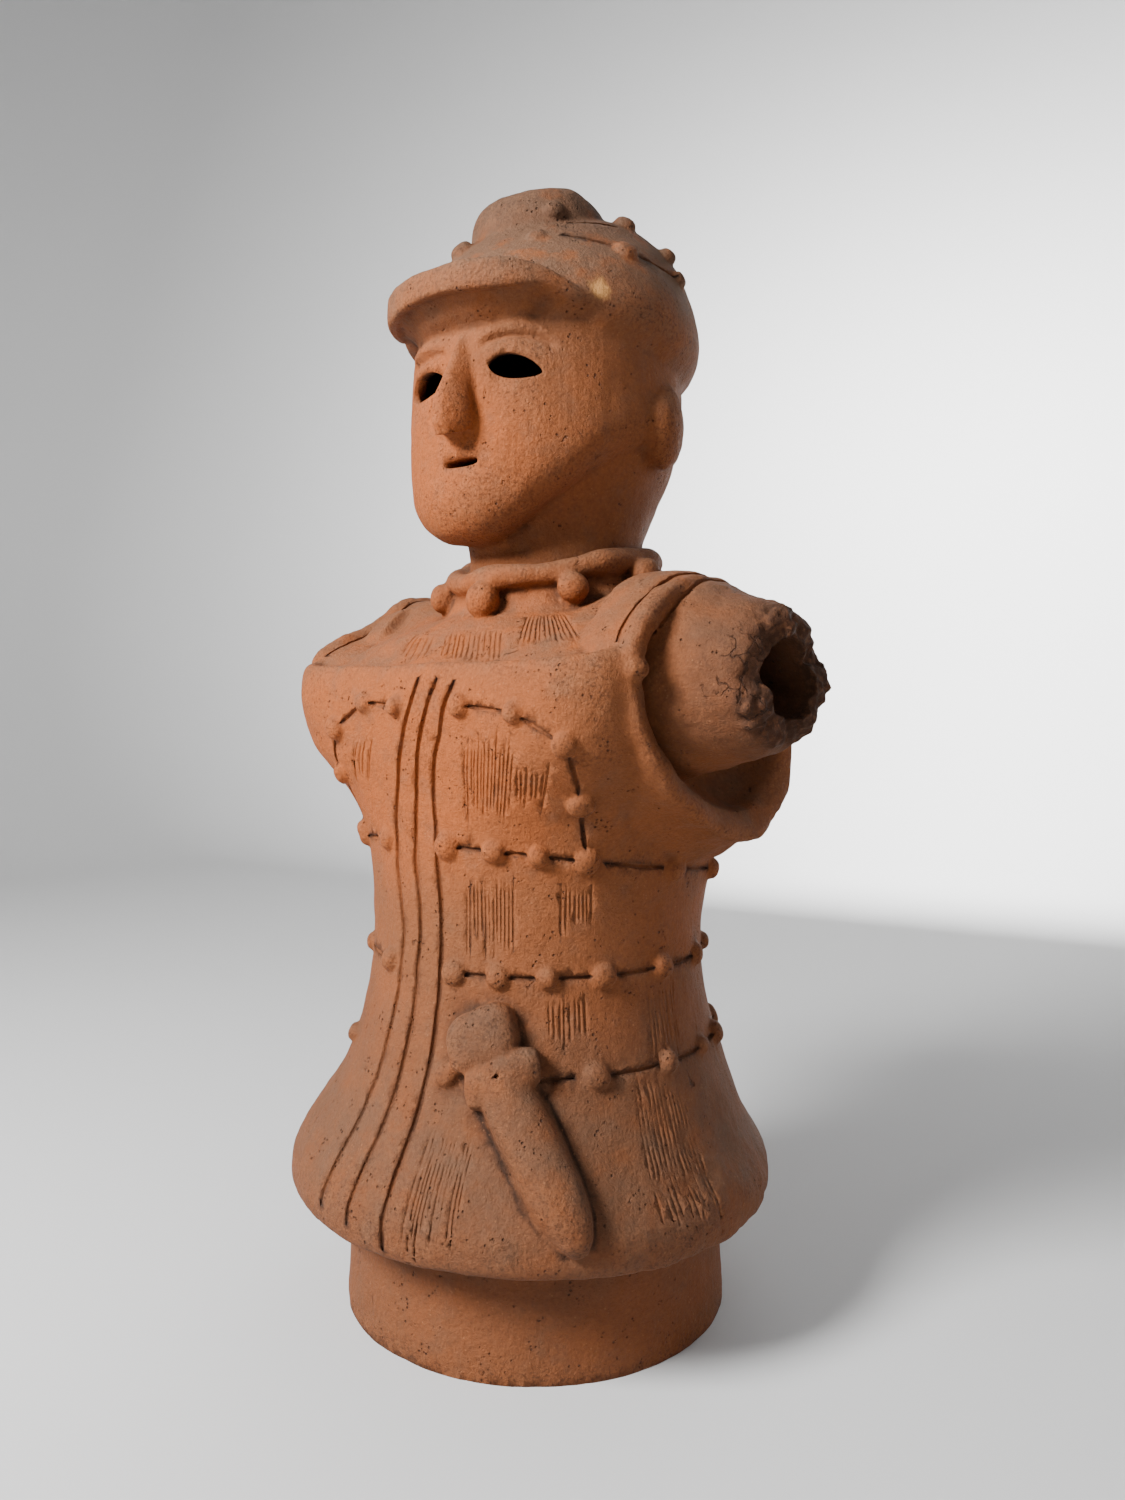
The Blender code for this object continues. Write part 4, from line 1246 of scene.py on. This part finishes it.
def fractureMask(points, side):
    place = armPlace(side).inverted()
    local = placed(points, place)
    length = arms["reach"][side] - arms["start"]
    near = np.hypot(local[:, 0], local[:, 1]) < arms["rootRadius"] + 0.01
    edge = 0.012 + waves(np.arctan2(local[:, 1], local[:, 0]), ((0.002, 4.0, 0.0),))
    return easeStep((local[:, 2] - length + edge) / 0.006) * near


def fractures(points):
    return np.maximum(*(fractureMask(points, side) for side in bothSides))


def thin(body):
    # fewer triangles where the surface is plain
    count = sum(len(face.vertices) - 2 for face in body.data.polygons)
    if count > clay["outsideTriangles"]:
        fewer = body.modifiers.new("fewer triangles", "DECIMATE")
        fewer.ratio = clay["outsideTriangles"] / count
        settle(body)


stains = {
    # where firing, handling and painted shade change the clay's colour: middle, reach each way, strength
    "patches": {
        "orange": (
            ((-0.02, -0.085, 0.29), (0.105, 0.07, 0.06), 1.0), ((0.0, -0.06, 0.35), (0.11, 0.07, 0.03), 0.8),
            ((-0.02, -0.07, 0.45), (0.06, 0.06, 0.05), 1.0)),
        # the smoke patches darken both arms; those on the neck under the chin and on the foot under the skirt's hem
        # are painted shade
        "smoke_and_shade": (
            ((0.155, -0.01, 0.33), (0.04, 0.06, 0.045), 0.7), ((-0.125, 0.0, 0.3), (0.05, 0.07, 0.05), 0.5),
            ((0.01, 0.03, 0.4), (0.07, 0.075, 0.034), 0.35), ((0.0, 0.0, 0.055), (0.12, 0.12, 0.016), 0.6)),
        "dusty": (
            ((0.0, 0.01, 0.556), (0.118, 0.128, 0.062), 1.0), ((0.04, -0.04, 0.09), (0.14, 0.14, 0.055), 0.4),
            ((0.052, -0.09, 0.158), (0.026, 0.03, 0.018), 0.6)),
        # the big dark patch round the foot and the skirt is painted shade, darker towards the bottom; the others
        # darken the crown, the left arm and the clay by the pommel
        "dark": (
            ((0.0, 0.0, 0.08), (0.17, 0.17, 0.125), 0.6), ((0.0, 0.015, 0.586), (0.1, 0.11, 0.04), 0.8),
            ((0.16, 0.0, 0.335), (0.05, 0.07, 0.055), 0.9), ((0.052, -0.09, 0.158), (0.026, 0.03, 0.018), 0.7)),
    },
    "insideHeights": (0.43, 0.49),  # the eyes and the mouth lie between these
    "insideReach": 0.036,           # and this near the face's middle line
}


def stainMask(points, name):
    # soft patches with ragged edges
    ragged = 0.22 * cloud(points, 0.03, 7.0)
    mask = np.zeros(len(points))
    for middle, reach, strength in stains["patches"][name]:
        away = np.linalg.norm((points - np.array(middle)) / np.array(reach), axis=1)
        mask = np.maximum(mask, strength * easeStep((1.35 + ragged - away) / 0.8))
    return mask


def bendOf(points, normals, pairs):
    # above nought in hollows, below it on edges
    spread = smoothed(points, pairs, 14, 0.6)
    bend = np.einsum("ij,ij->i", spread - points, normals)
    count = neighbourCount(points, pairs)
    for _ in range(3):
        bend = 0.5 * bend + 0.5 * neighbourMean(bend[:, None], pairs, count)[:, 0]
    return bend


def innerWallShade(points):
    # painted shade on the inner walls of the eyes and the mouth
    face = placed(points, facePlace().inverted())
    away = np.hypot(face[:, 0], face[:, 1] * head["halfWidth"] / head["halfDepth"])
    low, high = stains["insideHeights"]
    mask = easeStep((head["halfWidth"] - 0.003 - away) / 0.0035) * (points[:, 2] > low) * (points[:, 2] < high)
    mask = mask * (np.abs(face[:, 0]) < stains["insideReach"])
    return mask * easeStep((-face[:, 1] - 0.04) / 0.004)


def markSurface(body, lines):
    # masks that the finish reads, each a value per point
    points = readPoints(body.data)
    normals = readPoints(body.data, "normal")
    pairs = edgesOf(body.data)
    bend = bendOf(points, normals, pairs)
    # darker in the hollows: dirt and painted shade
    grit_and_shade = easeStep((bend - 0.0002) / 0.001)
    # less of this dirt and painted shade stays on the face, the crown and under the arms
    high = points[:, 2]
    grit_and_shade *= 1.0 - 0.65 * easeStep((high - 0.405) / 0.01) * easeStep((0.51 - high) / 0.01)
    grit_and_shade *= 1.0 - 0.6 * easeStep((high - 0.562) / 0.01)
    grit_and_shade *= 1.0 - 0.75 * easeStep((np.abs(points[:, 0]) - 0.085) / 0.012) * easeStep((0.385 - high) / 0.01)
    # dirt and painted shade along the cut lines and where the sheath meets the skirt
    groove_dirt_and_shade = np.zeros(len(points))
    for name, routes in lines.items():
        reach = grooves["dirt_and_shade"][name]
        for route in routes:
            groove_dirt_and_shade = np.maximum(groove_dirt_and_shade, easeStep(1.25 - routeDistance(points, route, reach) / reach))
    chip = np.linalg.norm((points - np.array(headSpot(*helmet["chip"]))) * (1.0, 1.0, 0.8), axis=1)
    masks = {name: stainMask(points, name) for name in stains["patches"]}
    masks.update({
        "grit_and_shade": grit_and_shade,
        "worn": easeStep(-bend / 0.0012),
        "groove_dirt_and_shade": groove_dirt_and_shade,
        "broken": fractures(points),
        "upward": easeStep((smoothed(normals, pairs, 6, 0.6)[:, 2] - 0.05) / 0.75),
        "chip": easeStep((0.0062 - chip) / 0.0022),
        "inside": innerWallShade(points),
    })
    for name, values in masks.items():
        layer = body.data.attributes.new(name, "FLOAT", "POINT")
        layer.data.foreach_set("value", values.astype(np.float32))


def makeFigure():
    body = layUp()
    handle(body)
    thin(body)
    print("thinned:", len(body.data.vertices), "points")
    skin = Skin(body.data)
    cut(body, [
        makeTorsoHollow(), makeHeadHollow(), makeArmBore(1), makeArmBore(-1), makeFaceCut("leftEye"),
        makeFaceCut("rightEye"), makeFaceCut("mouth"), makeGroundCut()])
    print("hollowed:", len(body.data.vertices), "points")
    lines = {
        "front grooves": grooveRoutes(skin),
        "rivet slots": slotRoutes() + helmetRoutes(),
        "seams": [plateRoute(skin)] + [strapLine(side, *seam) for side in bothSides for seam in arms["strapSeams"]],
    }
    cut(body, [makeLines(skin, name, routes) for name, routes in lines.items()] + [makeCombs(skin)])
    print("cut the lines:", len(body.data.vertices), "points")
    # painted shade where the sheath meets the skirt
    lines["sheath edges"] = sheathEdges()
    markSurface(body, lines)
    body.data.materials.clear()
    body.data.materials.append(clayFinish())
    body.data.shade_smooth()
    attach(body, "root")
    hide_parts("haniwa_figure")
    return body


# Finish.

finish = {
    "orange": (0.28, 0.071, 0.0165, 1.0),
    "brown": (0.19, 0.062, 0.021, 1.0),
    "grey": (0.125, 0.066, 0.0375, 1.0),
    # the smoke colour is also painted shade under the chin and under the skirt's hem
    "smoke_and_shade": (0.085, 0.032, 0.013, 1.0),
    # soot also colours the painted shade on the lower body
    "soot_and_shade": (0.06, 0.029, 0.016, 1.0),
    # dirt also serves as painted shade in hollows, cut lines, pits, the eyes and the mouth
    "dirt_and_shade": (0.014, 0.006, 0.003, 1.0),
    "dust": (0.33, 0.14, 0.062, 1.0),
    "chip": (0.42, 0.2, 0.065, 1.0),
    # noises that break the coats up: scale, detail, roughness
    "noises": {
        "patchy": (160.0, 5.0, 0.65), "sooty": (75.0, 5.0, 0.65), "rubbed": (700.0, 3.0, 0.55),
        "crumbly": (300.0, 4.0, 0.55),
    },
    # coats in the order they lie: mask, noise, where the noise starts and is full, share, colour
    "coats": (
        # smoke: darker clay on the arms, and painted shade on the neck under the chin and on the foot
        ("smoke_and_shade", "sooty", 0.34, 0.62, 0.75, "smoke_and_shade"),
        # dark: includes painted shade, darker towards the bottom of the body
        ("dark", None, 0.0, 1.0, 0.6, "soot_and_shade"),
        # inside: painted shade on the inner walls of the eyes and the mouth
        ("inside", None, 0.0, 1.0, 0.9, "dirt_and_shade"),
        # grit: dirt and painted shade in the hollows
        ("grit_and_shade", "patchy", 0.26, 0.56, 0.72, "dirt_and_shade"),
        # groove: dirt and painted shade along the cut lines and the sheath's edges
        ("groove_dirt_and_shade", "patchy", 0.18, 0.42, 0.85, "dirt_and_shade"),
        # pits and hair cracks: dirt and painted shade
        ("pit_dirt_and_shade", None, 0.0, 1.0, 0.65, "dirt_and_shade"),
        ("specks", None, 0.0, 1.0, 0.3, "dust"),
        ("worn", "patchy", 0.44, 0.7, 0.14, "dust"),
        ("worn", "rubbed", 0.5, 0.62, 0.4, "dirt_and_shade"),
        ("broken", "crumbly", 0.66, 0.46, 0.6, "dirt_and_shade"),
        ("chip", "patchy", 0.25, 0.45, 1.0, "chip"),
    ),
    "roughness": (0.16, 0.68),      # how much the patches change it, and its least
    "specular": 0.16,
    "bump": {"Strength": 0.95, "Distance": 0.0013},
}


def newGroup(name, inputs, outputs):
    group = bpy.data.node_groups.new(name, "ShaderNodeTree")
    for title, kind, value in inputs:
        socket = group.interface.new_socket(title, in_out="INPUT", socket_type=kind)
        if value is not None:
            socket.default_value = value
    for title, kind in outputs:
        group.interface.new_socket(title, in_out="OUTPUT", socket_type=kind)
    start = group.nodes.new("NodeGroupInput")
    stop = group.nodes.new("NodeGroupOutput")
    return group, start, stop


def newMaterial(name):
    material = bpy.data.materials.new(name)
    material.use_nodes = True
    return material, material.node_tree.nodes["Principled BSDF"]


def addNode(tree, kind, values=None, links=None):
    node = tree.nodes.new(kind)
    for name, value in (values or {}).items():
        if name in [socket.name for socket in node.inputs]:
            node.inputs[name].default_value = value
        else:
            setattr(node, name, value)
    for name, socket in (links or {}).items():
        tree.links.new(socket, node.inputs[name])
    return node


def feed(tree, sockets, values):
    # each socket gets a link or a plain value
    for socket, value in zip(sockets, values):
        if isinstance(value, bpy.types.NodeSocket):
            tree.links.new(value, socket)
        else:
            socket.default_value = value


def mixColour(tree, share, first, second, blend="MIX"):
    node = addNode(tree, "ShaderNodeMix", {"data_type": "RGBA", "blend_type": blend})
    feed(tree, (node.inputs["Factor"], node.inputs[6], node.inputs[7]), (share, first, second))
    return node.outputs[2]


def maths(tree, operation, *values, clamp=False):
    node = addNode(tree, "ShaderNodeMath", {"operation": operation, "use_clamp": clamp})
    feed(tree, node.inputs, values)
    return node.outputs[0]


def times(tree, first, second):
    return maths(tree, "MULTIPLY", first, second)


def ramp(tree, value, low, high):
    node = addNode(
        tree, "ShaderNodeMapRange",
        {"clamp": True, "interpolation_type": "SMOOTHSTEP", "From Min": low, "From Max": high}, {"Value": value})
    return node.outputs["Result"]


def noiseAt(tree, place, scale, detail=4.0, rough=0.55, stretch=None):
    if stretch:
        mapping = addNode(tree, "ShaderNodeMapping", {"Scale": stretch}, {"Vector": place})
        place = mapping.outputs["Vector"]
    node = addNode(
        tree, "ShaderNodeTexNoise", {"Scale": scale, "Detail": detail, "Roughness": rough}, {"Vector": place})
    return node.outputs["Fac"]


def clayGrain():
    # height of the fine surface, the small open pits in it, its hair cracks and pale specks
    group, start, stop = newGroup(
        "clay grain",
        [("Vector", "NodeSocketVector", None), ("Pit Size", "NodeSocketFloat", 0.0024),
         ("Cracked", "NodeSocketFloat", 0.0)],
        [("Height", "NodeSocketFloat"), ("Pits", "NodeSocketFloat"), ("Cracks", "NodeSocketFloat"),
         ("Specks", "NodeSocketFloat")])
    place = start.outputs["Vector"]
    scale = maths(group, "DIVIDE", 1.0, start.outputs["Pit Size"])
    cells = addNode(group, "ShaderNodeTexVoronoi", {"Randomness": 1.0}, {"Vector": place, "Scale": scale})
    fine = noiseAt(group, place, 850.0, 5.0, 0.65)
    middle = noiseAt(group, place, 230.0, 5.0, 0.62)
    chance = noiseAt(group, place, 95.0, 4.0, 0.65)
    shallow = ramp(group, cells.outputs["Distance"], 0.34, 0.1)
    pits = maths(group, "MULTIPLY", shallow, ramp(group, chance, 0.55, 0.64), clamp=True)
    specks = addNode(group, "ShaderNodeTexVoronoi", {"Scale": 430.0, "Randomness": 1.0}, {"Vector": place})
    pale = times(group, ramp(group, specks.outputs["Distance"], 0.26, 0.12), ramp(group, chance, 0.5, 0.36))
    # hair cracks run along the borders of bent cells
    bent = addNode(group, "ShaderNodeTexNoise", {"Scale": 120.0, "Detail": 3.0}, {"Vector": place})
    shift = addNode(
        group, "ShaderNodeVectorMath", {"operation": "SCALE", "Scale": 0.012}, {0: bent.outputs["Color"]})
    moved = addNode(group, "ShaderNodeVectorMath", {"operation": "ADD"}, {0: place, 1: shift.outputs["Vector"]})
    borders = addNode(
        group, "ShaderNodeTexVoronoi", {"feature": "DISTANCE_TO_EDGE", "Scale": 85.0, "Randomness": 1.0},
        {"Vector": moved.outputs["Vector"]})
    more = times(group, start.outputs["Cracked"], 0.16)
    where = maths(group, "ADD", noiseAt(group, place, 42.0, 3.0, 0.6), more)
    cracks = times(group, ramp(group, borders.outputs["Distance"], 0.05, 0.012), ramp(group, where, 0.665, 0.73))
    # long drag marks left by the hand, down the body and round it
    downward = noiseAt(group, place, 300.0, 4.0, 0.6, (1.0, 1.0, 0.1))
    across = noiseAt(group, place, 330.0, 4.0, 0.6, (0.14, 0.14, 1.0))
    height = times(group, fine, 0.6)
    for layer, share in ((middle, 1.05), (downward, 0.32), (across, 0.26), (pits, -1.3), (cracks, -0.9)):
        height = maths(group, "MULTIPLY_ADD", layer, share, height)
    feed(group, stop.inputs, (height, pits, cracks, pale))
    return group


def kilnColour():
    # broad changes of the fired clay's colour, orange to brown to grey
    group, start, stop = newGroup(
        "kiln colour",
        [("Vector", "NodeSocketVector", None), ("Orange", "NodeSocketColor", finish["orange"]),
         ("Brown", "NodeSocketColor", finish["brown"]), ("Grey", "NodeSocketColor", finish["grey"]),
         ("Orange Share", "NodeSocketFloat", 0.0), ("Grey Share", "NodeSocketFloat", 0.0)],
        [("Color", "NodeSocketColor")])
    place = start.outputs["Vector"]
    broad = ramp(group, noiseAt(group, place, 13.0, 4.0, 0.55), 0.36, 0.68)
    blotch = noiseAt(group, place, 60.0, 5.0, 0.62)
    speckle = noiseAt(group, place, 520.0, 4.0, 0.7)
    warm = maths(group, "MULTIPLY_ADD", start.outputs["Orange Share"], 0.85, times(group, broad, 0.3))
    colour = mixColour(group, maths(group, "MINIMUM", warm, 1.0), start.outputs["Brown"], start.outputs["Orange"])
    grey = times(group, ramp(group, blotch, 0.48, 0.74), 0.35)
    grey = maths(group, "MULTIPLY_ADD", start.outputs["Grey Share"], ramp(group, blotch, 0.3, 0.52), grey)
    grey = maths(group, "MINIMUM", grey, 0.92)
    colour = mixColour(group, grey, colour, start.outputs["Grey"])
    shade = maths(group, "MULTIPLY_ADD", speckle, 0.9, 0.55)
    feed(group, stop.inputs, [mixColour(group, 1.0, colour, shade, "MULTIPLY")])
    return group


def clayFinish():
    material, shader = newMaterial("terracotta")
    tree = material.node_tree
    place = tree.nodes.new("ShaderNodeTexCoord").outputs["Object"]
    masks = {}
    for name in ("grit_and_shade", "worn", "groove_dirt_and_shade", "broken", "upward", "chip", "orange", "smoke_and_shade", "dusty", "dark", "inside"):
        masks[name] = addNode(tree, "ShaderNodeAttribute", {"attribute_name": name}).outputs["Fac"]
    grain = addNode(tree, "ShaderNodeGroup", {"node_tree": clayGrain()}, {"Vector": place, "Cracked": masks["smoke_and_shade"]})
    masks["specks"] = grain.outputs["Specks"]
    # pits and hair cracks, darkened with dirt and painted shade
    masks["pit_dirt_and_shade"] = maths(tree, "MAXIMUM", grain.outputs["Pits"], times(tree, grain.outputs["Cracks"], 0.75))
    grey = maths(tree, "MULTIPLY_ADD", masks["upward"], 0.4, times(tree, masks["dusty"], 0.65))
    kiln = addNode(
        tree, "ShaderNodeGroup", {"node_tree": kilnColour()},
        {"Vector": place, "Orange Share": masks["orange"], "Grey Share": grey})
    noises = {name: noiseAt(tree, place, *look) for name, look in finish["noises"].items()}
    colour = kiln.outputs["Color"]
    for mask, speckle, low, high, share, tint in finish["coats"]:
        cover = times(tree, masks[mask], ramp(tree, noises[speckle], low, high)) if speckle else masks[mask]
        colour = mixColour(tree, times(tree, cover, share), colour, finish[tint])
    tree.links.new(colour, shader.inputs["Base Color"])
    rough = maths(tree, "MULTIPLY_ADD", noises["patchy"], *finish["roughness"])
    tree.links.new(rough, shader.inputs["Roughness"])
    shader.inputs["Specular IOR Level"].default_value = finish["specular"]
    bump = addNode(tree, "ShaderNodeBump", finish["bump"], {"Height": grain.outputs["Height"]})
    tree.links.new(bump.outputs["Normal"], shader.inputs["Normal"])
    return material


# Studio.

studio = {
    "azimuth": math.radians(43.0),
    "distance": 0.622,
    "eyeHeight": 0.315,
    "lens": 27.05,
    "shift": (0.0177, -0.03),
    "floorRadius": 2.4,
    "coveRadius": 0.7,
    "wallHeight": 2.6,
    "floorColour": (0.52, 0.52, 0.52, 1.0),
    "airColour": (0.95, 0.97, 1.0, 1.0),
    "airStrength": 0.08,
    # degrees from the camera towards its right, height, distance, size, power, height aimed at;
    # the lights on the wall are turned away from the figure
    "lights": {
        "key": (-55.5, 1.02, 1.2, 0.5, 72.0, figureMiddle),
        "fill": (60.0, 0.8, 1.8, 1.3, 4.4, figureMiddle),
        "top": (160.0, 1.9, 0.8, 1.2, 4.0, figureMiddle),
        "wall": (172.0, 1.5, 0.9, 1.0, 2.0, 0.7),
        "wall right": (150.0, 0.9, 1.3, 0.9, 100.0, 0.6),
    },
}


def makeFloor():
    reach, cove, tall = studio["floorRadius"], studio["coveRadius"], studio["wallHeight"]
    form = bmesh.new()
    rows = [(0.0, 0.0), (0.5 * reach, 0.0), (reach - cove, 0.0)]
    for step in range(1, 13):
        turn = 0.5 * math.pi * step / 12.0
        rows.append((reach - cove + cove * math.sin(turn), cove - cove * math.cos(turn)))
    rows.append((reach, tall))
    chain = [form.verts.new((radius, 0.0, height)) for radius, height in rows]
    edges = [form.edges.new(pair) for pair in zip(chain, chain[1:])]
    bmesh.ops.spin(
        form, geom=chain + edges, axis=(0.0, 0.0, 1.0), cent=(0.0, 0.0, 0.0),
        angle=2.0 * math.pi, steps=72, use_merge=True)
    bmesh.ops.remove_doubles(form, verts=form.verts, dist=0.0001)
    mesh = bpy.data.meshes.new("floor")
    form.to_mesh(mesh)
    form.free()
    mesh.shade_smooth()
    floor = newObject("floor", mesh)
    material, shader = newMaterial("pale floor")
    shader.inputs["Base Color"].default_value = studio["floorColour"]
    shader.inputs["Roughness"].default_value = 0.8
    shader.inputs["Specular IOR Level"].default_value = 0.2
    mesh.materials.append(material)


def makeCamera():
    data = bpy.data.cameras.new("camera")
    data.lens = studio["lens"]
    data.sensor_width = 36.0
    data.shift_x, data.shift_y = studio["shift"]
    data.clip_start = 0.01
    camera = newObject("camera", data)
    turn = studio["azimuth"]
    camera.location = spoke(turn, studio["distance"], studio["eyeHeight"])
    camera.rotation_euler = (math.pi / 2.0, 0.0, turn)
    bpy.context.scene.camera = camera


def lightStudio():
    for name, (degrees, height, distance, size, power, aim) in studio["lights"].items():
        data = bpy.data.lights.new(name, "AREA")
        data.shape = "DISK"
        data.size = size
        data.energy = power
        light = newObject(name, data)
        light.location = spoke(studio["azimuth"] + math.radians(degrees), distance, height)
        away = light.location - skyward * aim
        if name.startswith("wall"):
            away = Vector((-away.x, -away.y, away.z))
        light.rotation_euler = away.to_track_quat("Z", "Y").to_euler()
    world = bpy.data.worlds.new("studio air")
    bpy.context.scene.world = world
    world.use_nodes = True
    air = world.node_tree.nodes["Background"]
    air.inputs["Color"].default_value = studio["airColour"]
    air.inputs["Strength"].default_value = studio["airStrength"]


makeCamera()
makeFloor()
lightStudio()
print("studio ready")
makeFigure()
print("figure ready")
